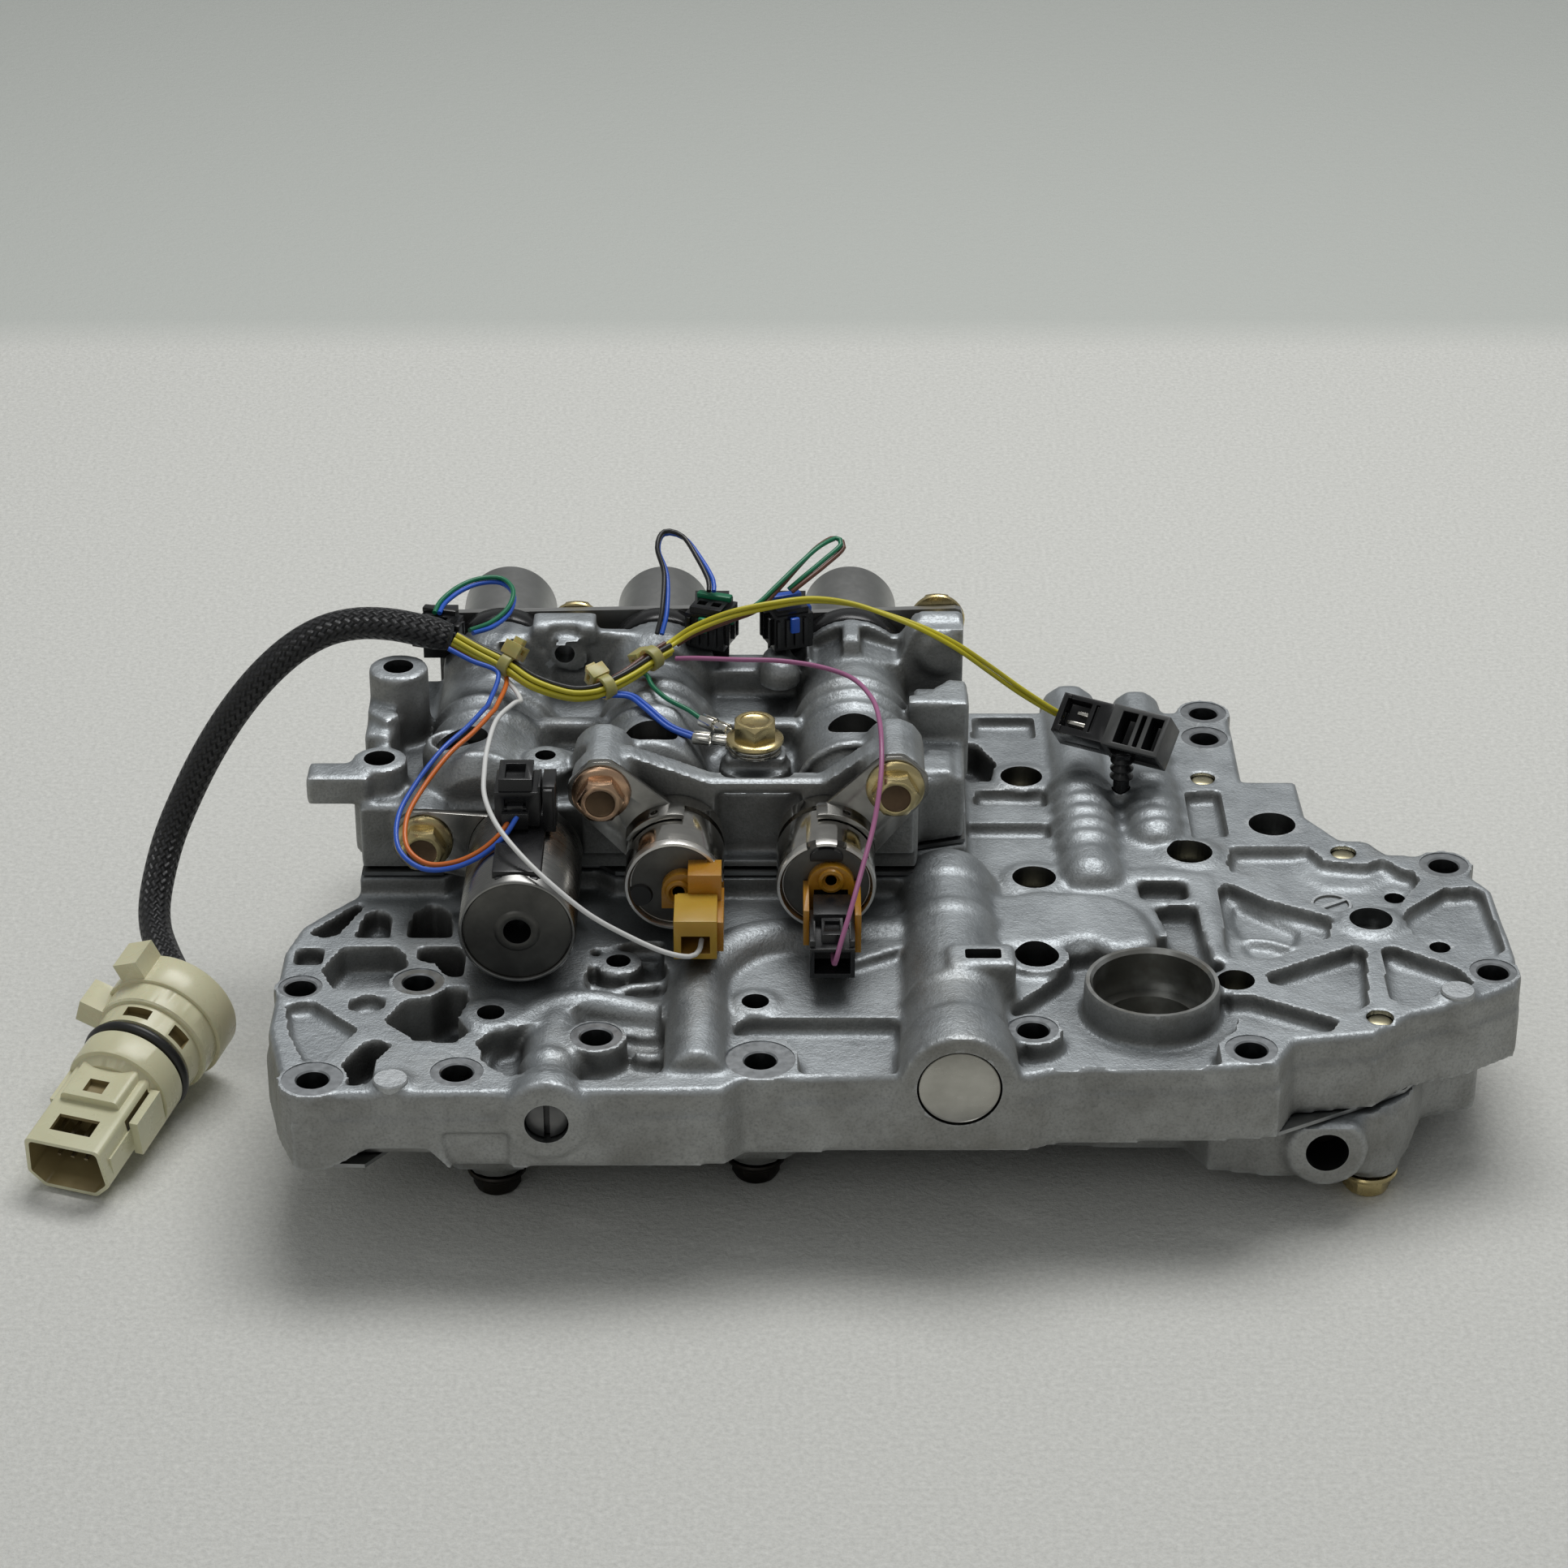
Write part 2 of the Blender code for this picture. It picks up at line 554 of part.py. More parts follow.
LOWER_OUTLINE = (
    (-98, 44), (-78, 24), (-62, 24), (-56, 32), (-16, 32), (-13, 28), (0, 28), (5, 33), (60, 34), (96, 33),
    (101, 24), (116, 21), (140, 22.5), (149.6, 31), (155, 46), (169, 51), (170, 88), (163, 100), (150, 103), (149.5, 116),
    (137, 118), (131, 111), (113, 114), (117, 157), (101, 160), (96, 182), (-92, 182), (-99, 160),
)
LOWER_RELIEF = 3.0
LOWER_BORES = ((-60.0, 60.0), (-20.0, 55.0), (55.0, 50.0))


def lower_casting():
    """The casting under the separator plate, with the manual valve's bore along its right side."""
    base = prism(outline(LOWER_OUTLINE), LOWER_Z + LOWER_RELIEF, LOWER_TOP)
    pads = [pillar(x, y, 7.6, LOWER_Z, LOWER_TOP - 2.4, 14) for x, y, _ in BOTTOM_BOLTS]
    mouth = turned_y(MANUAL_X, MANUAL_Z, ((MANUAL_FACE_Y, 9.3), (MANUAL_FACE_Y + 1, 10.0), (44, 10.0), (46, 9.0),
                                          (108, 9.0)), 18)
    pads.append(cut(mouth, [box(90, 180, 0, 120, LOWER_TOP - 0.5, LOWER_TOP + 12)]))
    pads += [turned_y(x, LOWER_Z + 9.5, ((y0, 5.5), (y0 + 4, 8.5), (168, 8.5), (172, 5.5)), 14)
             for x, y0 in LOWER_BORES]
    pads += [box(-94, 99, y, y + 4, LOWER_Z + 0.5, LOWER_TOP - 3) for y in (88, 128)]
    body = joined(base, pads)
    trims = [
        turned_y(MANUAL_X, MANUAL_Z, ((MANUAL_FACE_Y - 5, MANUAL_R + FIT), (MANUAL_BORE_END_Y, MANUAL_R + FIT)), 18),
        prism(outline(((-46, 62), (-34, 62), (-34, 84), (-46, 84))), LOWER_Z, LOWER_Z + 9),
        prism(outline(((2, 60), (40, 60), (40, 84), (8, 84))), LOWER_Z, LOWER_Z + 9),
        prism(outline(((72, 56), (98, 50), (98, 84), (72, 84))), LOWER_Z, LOWER_Z + 9),
        prism(outline(((-88, 60), (-74, 52), (-74, 84), (-90, 84))), LOWER_Z, LOWER_Z + 9),
        prism(outline(((0, 96), (40, 96), (34, 124), (0, 124))), LOWER_Z, LOWER_Z + 9),
        prism(outline(((-46, 96), (-34, 96), (-34, 124), (-46, 124))), LOWER_Z, LOWER_Z + 9),
        prism(outline(((72, 96), (98, 96), (92, 124), (72, 124))), LOWER_Z, LOWER_Z + 9),
        prism(outline(((147, 58), (162, 58), (160, 90), (147, 92))), LOWER_Z, LOWER_Z + 8),
    ]
    trims += [pillar(x, y, BOLT_R + PRESS_FIT, LOWER_Z - 2, LOWER_TOP + 2, 12) for x, y, _ in BOTTOM_BOLTS]
    return cut(body, trims)


# Upper casting

UPPER_OUTLINE = (
    (-104.5, 90), (33, 90), (33.5, 102), (45, 105.5), (46.5, 159), (-103, 159), (-104.5, 130),
)
HUMP_Z = 66.0
HUMP_R = 16.5
HUMP_START_Y = 99.0
COLLAR_R = 13.6
# Outline of the front wall between its two upper bolt bosses, as (x, z)
FRONT_WALL = ((-50, 60), (32, 60), (32, 82), (21, 88.5), (9, 79.5), (-17, 79.5), (-38, 87.5), (-50, 82))
# Outlines of the two rear walls, as (x, z)
REAR_WALL_LEFT = ((-88, 60), (-22, 60), (-22, 82), (-30, 86), (-46, 87.5), (-66, 87.5), (-74, 86), (-88, 80))
REAR_WALL_RIGHT = ((-24, 60), (46, 60), (46, 91.5), (33.5, 91.5), (30, 86), (-2, 80), (-24, 80))
WINDOWS = ((-80, 107, 6.0, 4.5), (-33, 108, 6.5, 5.0), (17.5, 110, 6.5, 5.0))


def hump(x):
    """The round back of a bore housing, with cross ribs."""
    profile = [(HUMP_START_Y, HUMP_R - 5), (HUMP_START_Y + 5, HUMP_R - 1)]
    for y in (118, 132):
        profile += [(y, HUMP_R - 1), (y + 1.5, HUMP_R + 0.6), (y + 5, HUMP_R + 0.6), (y + 6.5, HUMP_R - 1)]
    profile.append((REAR_WALL_Y - 2, HUMP_R - 1))
    return turned_y(x, HUMP_Z, profile, 16)


def upper_features():
    low = UPPER_Z + 4
    shapes = [hump(x) for x in REAR_X]
    shapes += [turned_y(x, REAR_Z, ((146, COLLAR_R - 1.5), (148, COLLAR_R), (REAR_WALL_Y, COLLAR_R)), 16) for x in REAR_X]
    shapes += [turned_y(x, z, ((BRACKET_BOSS_Y, BRACKET_BOSS_R), (98 if z < 75 else 103, BRACKET_BOSS_R),
                               (100 if z < 75 else 106, BRACKET_BOSS_R - 3)), 14)
               for x, z in BRACKET_BOLTS]
    shapes += [turned_y(x, z, ((148, 6.2), (REAR_WALL_Y, 6.2)), 10) for x, z in REAR_BOLTS]
    shapes += [
        wall_y(outline(FRONT_WALL), FRONT_WALL_Y - 1.5, FRONT_WALL_Y + 5),
        wall_y(outline(REAR_WALL_LEFT), 151, REAR_WALL_Y),
        wall_y(outline(REAR_WALL_RIGHT), 149, REAR_WALL_Y),
        box(-62, -45, 121, 126, low, 79, 0.8),
        box(-20, 4, 121, 126, low, 79, 0.8),
        pillar(-100, 101, 6.9, UPPER_Z, 80.0, 18, 0.5),
        prism([(-117.5, 92), (-102, 92), (-102, 101), (-117.5, 101)], 71.5, 79.2, 0.7),
        pillar(-97, 127.5, 7.5, low, 92.0, 18, 0.5),
        prism(outline(((-104.5, 110), (-98, 108), (-96, 120), (-104.5, 124))), low, 82, 0.8),
        pillar(GROUND_X, GROUND_Y, GROUND_BOSS_R, low, GROUND_BOSS_Z, 16, 0.5),
        box(33, 47, 130, 138.5, low, 80.5, 0.7),
        box(33, 42, 105, 115, low + 6, 74, 0.7),
        prism(outline(((-66, 96), (-52, 96), (-50, 106), (-58, 110), (-66, 106))), low, 79, 0.8),
        turned_y(-57, 84, ((142, 2), (146, 5), (152, 5)), 10),
        turned_y(-1.5, 81, ((144, 3.5), (147, 4.6), (153, 4.6)), 10),
    ]
    return shapes


def upper_holes():
    shapes = [pillar(-100, 101, 3.9, UPPER_Z - 2, 99), pillar(-97, 127.5, 3.8, UPPER_Z - 2, 99)]
    nozzle = NOZZLE_R + PRESS_FIT
    for x, z in ((PRESSURE_X, PRESSURE_Z), (SHIFT_X[0], SHIFT_Z), (SHIFT_X[1], SHIFT_Z)):
        shapes.append(turned_y(x, z, ((FRONT_WALL_Y - 8, nozzle), (FRONT_WALL_Y + NOZZLE_LENGTH + 1, nozzle)), 20))
    for x in REAR_X:
        shapes.append(turned_y(x, REAR_Z, ((139.5, 8.3), (REAR_WALL_Y + 5, 8.3)), 20))
    shapes += [turned_y(x, z, ((BRACKET_BOSS_Y - 5, BOLT_R + PRESS_FIT), (97, BOLT_R + PRESS_FIT)), 12)
               for x, z in BRACKET_BOLTS]
    shapes += [turned_y(x, z, ((138, BOLT_R + PRESS_FIT), (REAR_WALL_Y + 5, BOLT_R + PRESS_FIT)), 12)
               for x, z in REAR_BOLTS]
    shapes += [
        pillar(GROUND_X, GROUND_Y, BOLT_R + PRESS_FIT, GROUND_BOSS_Z - 14, GROUND_BOSS_Z + 5, 12),
        wall_y(rounded([(-15, 58), (3, 58), (3, 76), (-15, 76)], 3), FRONT_WALL_Y - 6, FRONT_WALL_Y + 2),
        pillar(-59, 101, 3.2, 70, 90, 10),
    ]
    shapes += [prism(ellipse(x, y, rx, ry), 70, 92) for x, y, rx, ry in WINDOWS]
    shapes.append(box(-130, 70, 80, 170, UPPER_Z - 20, UPPER_Z))
    return shapes


def upper_casting():
    body = prism(outline(UPPER_OUTLINE), UPPER_Z, UPPER_FLOOR, 1.0)
    return cut(joined(body, upper_features()), upper_holes())


# Solenoids

def pressure_solenoid():
    """The large pressure-control solenoid: a can with a centre hole, a neck, a nozzle and a plug seat on top."""
    y = PRESSURE_FACE_Y
    neck = 11.0
    can = turned_y(PRESSURE_X, PRESSURE_Z, (
        (y, PRESSURE_R - 0.9), (y + 0.9, PRESSURE_R), (BRACKET_Y - GAP, PRESSURE_R), (BRACKET_Y - GAP + 0.01, neck),
        (FRONT_WALL_Y - GAP - 1.5, neck), (FRONT_WALL_Y - GAP - 1.49, NOZZLE_R), (FRONT_WALL_Y + NOZZLE_LENGTH, NOZZLE_R)), 28)
    seat = box(PRESSURE_X - 5.5, PRESSURE_X + 6.5, y + 14, BRACKET_Y - GAP - 1, PRESSURE_Z + 8, PRESSURE_Z + PRESSURE_R + 1)
    hole = turned_y(PRESSURE_X, PRESSURE_Z, ((y - 3, 3.4), (y + 9, 3.4)), 16)
    return cut(joined(can, [seat]), [hole])


def shift_solenoid(x, connector):
    """A bright can with a groove for its bracket, a nozzle, and a connector block on its face."""
    y = SHIFT_FACE_Y
    groove = SHIFT_R - 1.6
    can = turned_y(x, SHIFT_Z, (
        (y, SHIFT_R - 0.8), (y + 0.8, SHIFT_R), (BRACKET_Y - GAP, SHIFT_R), (BRACKET_Y - GAP + 0.01, groove),
        (BRACKET_BOSS_Y, groove), (BRACKET_BOSS_Y + 0.01, SHIFT_R), (FRONT_WALL_Y - GAP - 1.5, SHIFT_R),
        (FRONT_WALL_Y - GAP - 1.49, NOZZLE_R), (FRONT_WALL_Y + NOZZLE_LENGTH, NOZZLE_R)), 24)
    return joined(can, connector)


def rear_solenoid(x, block):
    """A dark can that points to the rear, with a black coil body against the casting and a plug seat."""
    y = REAR_WALL_Y + GAP
    body_end = y + REAR_BODY_T
    can = turned_y(x, REAR_Z, ((141, 8.0), (y - 0.01, 8.0), (y, REAR_BODY_R), (body_end, REAR_BODY_R),
                               (body_end + 0.01, REAR_R), (REAR_END_Y - 1, REAR_R), (REAR_END_Y, REAR_R - 1)), 24)
    x0, x1, z1 = block
    return joined(can, [box(x0, x1, y, body_end, REAR_Z + 4, z1)])


REAR_PLUGS = ((-95.0, -83.0, 94.0), (-24.6, -12.6, 98.0), (-5.8, 7.2, 98.0))
REAR_PLUG_Y = (146.0, REAR_WALL_Y)
REAR_PLUG_Z = 86.8


def rear_plug(x0, x1, top):
    """A harness plug in front of its solenoid, with a waist and a latch rib."""
    y0, y1 = REAR_PLUG_Y
    body = box(x0, x1, y0, y1, REAR_PLUG_Z, top, 1.2)
    return joined(body, [box((x0 + x1) / 2 - 1.8, (x0 + x1) / 2 + 1.8, y0 - 1.2, y1 - 3, top - 5, top + 1.5)])


def rear_plate(x0, x1, holes, bolt):
    """A steel retainer sheet over the rear solenoids, held by one bolt."""
    y0 = REAR_WALL_Y + GAP + REAR_BODY_T + GAP
    sheet = wall_y(rounded([(x0, 62), (x1, 62), (x1, 89.5), (x0, 88)], 2), y0, y0 + REAR_PLATE_T)
    cuts = [turned_y(x, REAR_Z, ((y0 - 5, REAR_R + PRESS_FIT), (y0 + 8, REAR_R + PRESS_FIT)), 24) for x in holes]
    cuts.append(turned_y(bolt[0], bolt[1], ((y0 - 5, BOLT_R + PRESS_FIT), (y0 + 8, BOLT_R + PRESS_FIT)), 12))
    return cut(sheet, cuts)


def bracket(bolt, can_x, can_z, seat_r, tab):
    """A stamped bracket: a flat lever from its bolt into the can's groove, with an optional curved tab."""
    bx, bz = bolt
    reach = Vector((can_x - bx, can_z - bz))
    length = reach.length
    angle = atan2(reach.y, reach.x)
    lever = [(-7.4, -4), (-4, -7.4), (0, -8), (length - 2, -9.5), (length + 1, -7), (length + 1, 7), (length - 2, 9.5),
             (0, 8), (-4, 7.4), (-7.4, 4)]
    lever = [(bx + u * cos(angle) - v * sin(angle), bz + u * sin(angle) + v * cos(angle)) for u, v in lever]
    y0, y1 = BRACKET_Y, BRACKET_Y + BRACKET_T
    flat = wall_y(lever, y0, y1)
    if tab:
        inner = SHIFT_R + GAP
        outer = inner + 1.3
        turns = [radians(a) for a in (range(52, 117, 8) if bx < can_x else range(64, 129, 8))]
        arc = [(can_x + outer * cos(a), can_z + outer * sin(a)) for a in turns]
        arc += [(can_x + inner * cos(a), can_z + inner * sin(a)) for a in reversed(turns)]
        flat = joined(flat, [wall_y(arc, y0 - 10, y0 + 0.5)])
    clear = [turned_y(bx, bz, ((y0 - 5, BOLT_R + PRESS_FIT), (y1 + 5, BOLT_R + PRESS_FIT)), 12),
             turned_y(can_x, can_z, ((y0 - 0.2, seat_r + PRESS_FIT), (y1 + 5, seat_r + PRESS_FIT)), 24)]
    return cut(flat, clear)


# Fasteners

def hex_bolt(length):
    """A flange bolt along local Z: its head sits below the origin and its shank runs up by a length."""
    hexagon = [(a * BOLT_HEX / sqrt(3), b * BOLT_HEX / sqrt(3)) for a, b in circle(0, 0, 1.0, 6)]
    rise = HEAD_H - FLANGE_T
    head = lofted([[(x * 0.9, y * 0.9, -HEAD_H) for x, y in hexagon], [(x, y, -HEAD_H + 0.5) for x, y in hexagon],
                   [(x, y, rise - HEAD_H + 0.2) for x, y in hexagon]])
    flange = turned(((-FLANGE_T, FLANGE_R), (-0.5, FLANGE_R), (0.0, FLANGE_R - 0.3)), 12)
    shank = turned(((-1.0, BOLT_R), (length - 1, BOLT_R), (length, BOLT_R - 0.8)), 12)
    return joined(head, [flange, shank])


# Wiring

TRUNK_ROUTE = (
    (-83.3, 135.8, 95.6), (-77.5, 134.2, 93.0), (-69.9, 131.0, 90.6), (-62.5, 124.5, 89.0), (-54.0, 120.8, 88.0),
    (-48.5, 121.0, 88.0), (-44.6, 122.8, 88.6), (-39.0, 127.8, 89.6), (-33.4, 134.4, 90.8), (-29.4, 138.8, 91.5),
)
TIE_KNOTS = (2, 6, 8)
SENSOR_ROUTE = (
    (-27.4, 140.6, 92.8), (-22.5, 141.4, 95.8), (-13.6, 141.6, 99.6), (-3.3, 143.2, 101.4), (7.1, 147.2, 101.0),
    (17.5, 149.2, 98.8), (28.0, 146.8, 96.3), (36.4, 145.2, 93.3), (44.9, 146.0, 87.9), (53.3, 148.6, 80.3),
    (61.7, 149.8, 73.2), (70.6, 150.2, 67.0),
)
PRESSURE_ROUTE = (
    (-73.0, 123.0, 86.4), (-72.6, 116.5, 87.2), (-74.0, 109.1, 88.2), (-77.5, 101.1, 87.6), (-83.0, 92.4, 86.0),
    (-89.0, 82.3, 82.4), (-92.2, 73.6, 80.0), (-91.4, 65.0, 77.4), (-86.0, 60.0, 76.0), (-79.0, 59.0, 77.4),
    (-72.5, 60.0, 80.2), (-67.8, 62.8, 82.6), (-66.4, 66.2, 83.6),
)
SHIFT_D_ROUTE = (
    (-66.0, 119.6, 86.8), (-67.3, 113.7, 88.6), (-71.0, 104.8, 88.6), (-72.4, 91.7, 88.0), (-72.4, 80.0, 88.0),
    (-71.8, 70.0, 86.4), (-68.4, 58.4, 85.2), (-62.8, 50.0, 82.2), (-55.4, 43.2, 78.0), (-46.0, 40.4, 70.8),
    (-36.0, 39.6, 64.8), (-28.0, 39.6, 60.8), (-22.4, 41.0, 58.2),
)
SHIFT_E_ROUTE = (
    (-27.4, 135.4, 90.2), (-21.8, 133.4, 91.3), (-11.4, 129.2, 93.0), (-1.2, 126.6, 94.0), (9.0, 122.1, 94.6),
    (17.0, 115.3, 94.8), (21.6, 104.6, 94.8), (23.2, 94.0, 94.6), (23.6, 83.0, 93.0), (23.2, 74.0, 88.4),
    (21.6, 65.4, 81.6), (18.8, 55.4, 75.4), (15.9, 45.6, 69.4), (13.6, 40.8, 64.2), (12.0, 41.0, 58.9),
)
GROUND_PAIR_ROUTE = ((-40.5, 119.4, 85.4), (-35.0, 115.6, 85.4), (-28.6, 111.0, 83.6), (-22.7, 108.5, 82.2))
GROUND_ROUTE = ((-35.6, 130.6, 86.0), (-33.5, 125.5, 86.6), (-28.6, 121.0, 86.0), (-24.0, 118.0, 84.6), (-20.8, 115.7, 83.3))
LOOP_ROUTES = (
    ((-89.0, 152.0, 96.9), (-89.8, 157.0, 98.2), (-87.8, 163.6, 99.6), (-83.7, 169.7, 100.4), (-77.4, 172.1, 100.6),
     (-72.5, 167.7, 99.6), (-71.8, 159.1, 97.0), (-75.0, 150.0, 95.0), (-79.6, 143.8, 95.4)),
    ((-31.8, 144.6, 92.6), (-30.6, 150.0, 96.5), (-30.5, 160.0, 102.0), (-32.6, 166.0, 106.5), (-31.0, 170.4, 109.0),
     (-26.0, 169.0, 108.4), (-21.6, 161.6, 105.4), (-18.8, 155.4, 102.6), (-18.6, 152.2, 101.0)),
    ((-26.0, 144.2, 90.6), (-20.0, 141.8, 91.2), (-13.5, 142.2, 92.4), (-9.6, 146.2, 94.4), (-9.2, 150.2, 97.8),
     (-6.0, 154.0, 101.4), (0.4, 159.2, 104.8), (7.6, 165.0, 107.6), (13.6, 170.4, 108.8), (17.6, 169.4, 107.8),
     (13.4, 161.4, 104.8), (6.4, 154.6, 102.4), (1.6, 152.2, 101.2)),
)
# The braided sleeve, a free cord: from the loom's trunk over the left edge and down to the bench
SLEEVE_ROUTE = (
    (-84.4, 136.0, 95.9), (-91.6, 137.4, 97.2), (-99.9, 138.8, 98.2), (-108.2, 139.6, 98.0), (-116.5, 139.4, 96.0),
    (-124.7, 138.4, 91.4), (-133.0, 136.9, 84.0), (-141.0, 136.0, 74.0), (-148.0, 134.6, 63.0), (-153.8, 132.6, 52.0),
    (-158.2, 128.6, 42.4), (-160.6, 122.0, 34.6), (-161.3, 115.4, 29.2), (-160.2, 108.6, 26.0), (-157.6, 101.4, 24.2),
    (-154.8, 95.0, 23.0), (-152.3, 89.4, 22.0), (-151.3, 84.4, 21.1),
)


def cable_tie(knot):
    """A nylon tie round the trunk at one of its route's points, with its square head."""
    along = Vector(TRUNK_ROUTE[knot + 1]) - Vector(TRUNK_ROUTE[knot - 1])
    inner = TRUNK_R + GAP
    outer = inner + TIE_WALL
    half = TIE_WIDTH / 2
    ring = cut(joined(turned(((-half, outer), (half, outer)), 14),
                      [box(-2.2, 2.2, outer - 0.8, outer + 3.2, -half - 0.4, half + 0.4, 0.5)]),
               [turned(((-half - 2, inner), (half + 2, inner)), 14)])
    turn = Vector((0, 0, 1)).rotation_difference(along).to_matrix().to_4x4()
    return placed(ring, Matrix.Translation(TRUNK_ROUTE[knot]) @ turn)


def ring_terminal(level, direction, length):
    """A crimp terminal: a ring under the ground bolt, a strip and a barrel."""
    z = GROUND_BOSS_Z + GAP + level * (TERMINAL_T + GAP)
    ring = pillar(GROUND_X, GROUND_Y, 5.8, z, z + TERMINAL_T, 14)
    away = Vector(direction).normalized()
    side = Vector((-away.y, away.x)) * 1.9
    start = Vector((GROUND_X, GROUND_Y))
    end = start + away * length
    neck = start + away * (length - 4.5)
    strip = prism([tuple(p) for p in (start - side, end - side, end + side, start + side)], z, z + TERMINAL_T)
    barrel = prism([tuple(p) for p in (neck - side, end - side, end + side, neck + side)], z, z + 3.2, 0.6)
    hole = pillar(GROUND_X, GROUND_Y, BOLT_R + PRESS_FIT, z - 2, z + 3, 12)
    return cut(joined(ring, [strip, barrel]), [hole])


def sensor_plug():
    """The speed-sensor plug in its holder, on a barbed stem pressed into the deck."""
    centre = Vector((85.4, 143.0, 65.4))
    turn = Matrix.Translation(centre) @ Matrix.Rotation(radians(-29), 4, "Z")
    holder = placed(box(-15, 15, -5.6, 5.6, -4.8, 4.8, 0.6), turn)
    slots = [placed(box(x, x + 3.2, -4.2, 4.2, 1.4, 8), turn) for x in (1.0, 6.0, 11.0)]
    slots.append(placed(box(-13.5, -6, -4.0, 4.0, 2.6, 8), turn))
    x, y, r = SENSOR_HOLE
    barbs = [(DECK_Z - 7, r - 0.6), (DECK_Z - 5, r - 0.1), (DECK_Z + 6, r - 0.1)]
    for k in range(3):
        z = DECK_Z + 6.4 + 2.4 * k
        barbs += [(z - 0.01, 1.5), (z, 3.0), (z + 1.4, 1.9)]
    barbs.append((centre.z - 4, 1.9))
    stem = placed(turned(barbs, 10), Matrix.Translation((x, y, 0)))
    return cut(joined(holder, [stem]), slots)


def case_connector_frame():
    """Frame on the connector's rear face, with local Z along it to the socket and local Y upward."""
    rear = Vector(CASE_REAR)
    ahead = (Vector(CASE_NOSE) - rear).normalized()
    side = ahead.cross(Vector((0, 0, 1))).normalized()
    up = side.cross(ahead)
    turn = Matrix((-side, up, ahead)).transposed().to_4x4()
    return Matrix.Translation(rear) @ turn


def case_connector():
    """The ivory connector on the loom's end: drum, barrel with a seal groove, and an open socket."""
    ring_groove = CASE_RING_R - 2.6
    groove = (CASE_RING_Z - 2.0, CASE_RING_Z + 2.0)
    drum_end = CASE_DRUM_LENGTH
    barrel = turned(((0, CASE_DRUM_R - 0.8), (0.8, CASE_DRUM_R), (13, CASE_DRUM_R), (13.01, CASE_DRUM_R - 0.5),
                     (drum_end - 0.8, CASE_DRUM_R - 0.5), (drum_end, CASE_BARREL_R),
                     (groove[0] - 0.01, CASE_BARREL_R), (groove[0], ring_groove), (groove[1], ring_groove),
                     (groove[1] + 0.01, CASE_BARREL_R), (CASE_BARREL_LENGTH - 1, CASE_BARREL_R),
                     (CASE_BARREL_LENGTH, CASE_BARREL_R - 1)), 28)
    half_w, half_h = CASE_SHROUD[0] / 2, CASE_SHROUD[1] / 2
    socket = [(-half_w, -half_h + 4), (-half_w + 4, -half_h), (half_w - 4, -half_h), (half_w, -half_h + 4),
              (half_w - 1, half_h), (-half_w + 1, half_h)]
    shroud = prism(socket, CASE_BARREL_LENGTH - 6, CASE_LENGTH)
    clips = [box(s * half_w - 1.6, s * half_w + 1.6, -4.5, 4.5, CASE_BARREL_LENGTH - 4, CASE_BARREL_LENGTH + 8, 0.5)
             for s in (-1, 1)]
    tabs = [box(-2.5, 3.5, CASE_DRUM_R - 3, CASE_DRUM_R + 3.4, 3, 15, 0.6),
            box(7.5, 12.5, CASE_DRUM_R - 8, CASE_DRUM_R - 1.2, 14, 24, 0.6)]
    cavity = prism(inset(socket, CASE_WALL), CASE_LENGTH - 17, CASE_LENGTH + 5)
    back = turned(((-5, CASE_DRUM_R - CASE_WALL - 1), (CASE_BACK_DEPTH, CASE_DRUM_R - CASE_WALL - 1)), 20)
    windows = [back, box(-7, 0, CASE_BARREL_R - 2.2, CASE_BARREL_R + 3, drum_end + 2.5, drum_end + 6.5),
               box(CASE_BARREL_R - 2.2, CASE_BARREL_R + 3, -2.5, 3.5, drum_end + 2.5, drum_end + 6.5),
               box(-6, 6, half_h - 1, half_h + 4, CASE_LENGTH - 11, CASE_LENGTH - 4)]
    shape = cut(joined(barrel, [shroud] + clips + tabs), [cavity] + windows)
    return joined(placed(shape, case_connector_frame()), [sleeve_stem()])


def sleeve_stem():
    """The stub in the connector's hollow back that the sleeve's end lies against."""
    end, before = Vector(SLEEVE_ROUTE[-1]), Vector(SLEEVE_ROUTE[-2])
    turn = (end - before).to_track_quat("Z", "Y").to_matrix().to_4x4()
    return placed(turned(((0.02, SLEEVE_R + 0.6), (7, SLEEVE_R + 0.6)), 16), Matrix.Translation(end) @ turn)


def seal_ring():
    """The rubber ring in the connector's groove."""
    inner = CASE_RING_R - 2.6 + PRESS_FIT
    z0, z1 = CASE_RING_Z - 2.0 + GAP, CASE_RING_Z + 2.0 - GAP
    ring = cut(turned(((z0, CASE_RING_R - 0.5), (z0 + 0.6, CASE_RING_R), (z1 - 0.6, CASE_RING_R), (z1, CASE_RING_R - 0.5)), 28),
               [turned(((z0 - 2, inner), (z1 + 2, inner)), 28)])
    return placed(ring, case_connector_frame())


# Valves

def spool(radius, lands, length):
    """A spool valve along local Z, whose lands fill the bore and whose waists let fluid pass."""
    waist = radius * 0.62
    profile = []
    for start, end in lands:
        profile += [(start - 0.01, waist), (start, radius), (end, radius), (end + 0.01, waist)]
    return turned(profile[1:-1] if lands[-1][1] >= length else profile[1:], 18)


def coil_spring(radius, wire, length, turns):
    """A compression spring along local Z, with a square wire section."""
    steps = turns * 8
    rings = []
    for i in range(steps + 1):
        angle = 2 * pi * i / 8
        z = wire + (length - 2 * wire) * i / steps
        centre = Vector((radius * cos(angle), radius * sin(angle), z))
        out = Vector((cos(angle), sin(angle), 0))
        rings.append([tuple(centre + out * a + Vector((0, 0, b))) for a, b in ((-wire, -wire), (-wire, wire), (wire, wire),
                                                                              (wire, -wire))])
    return lofted(rings)


# Building

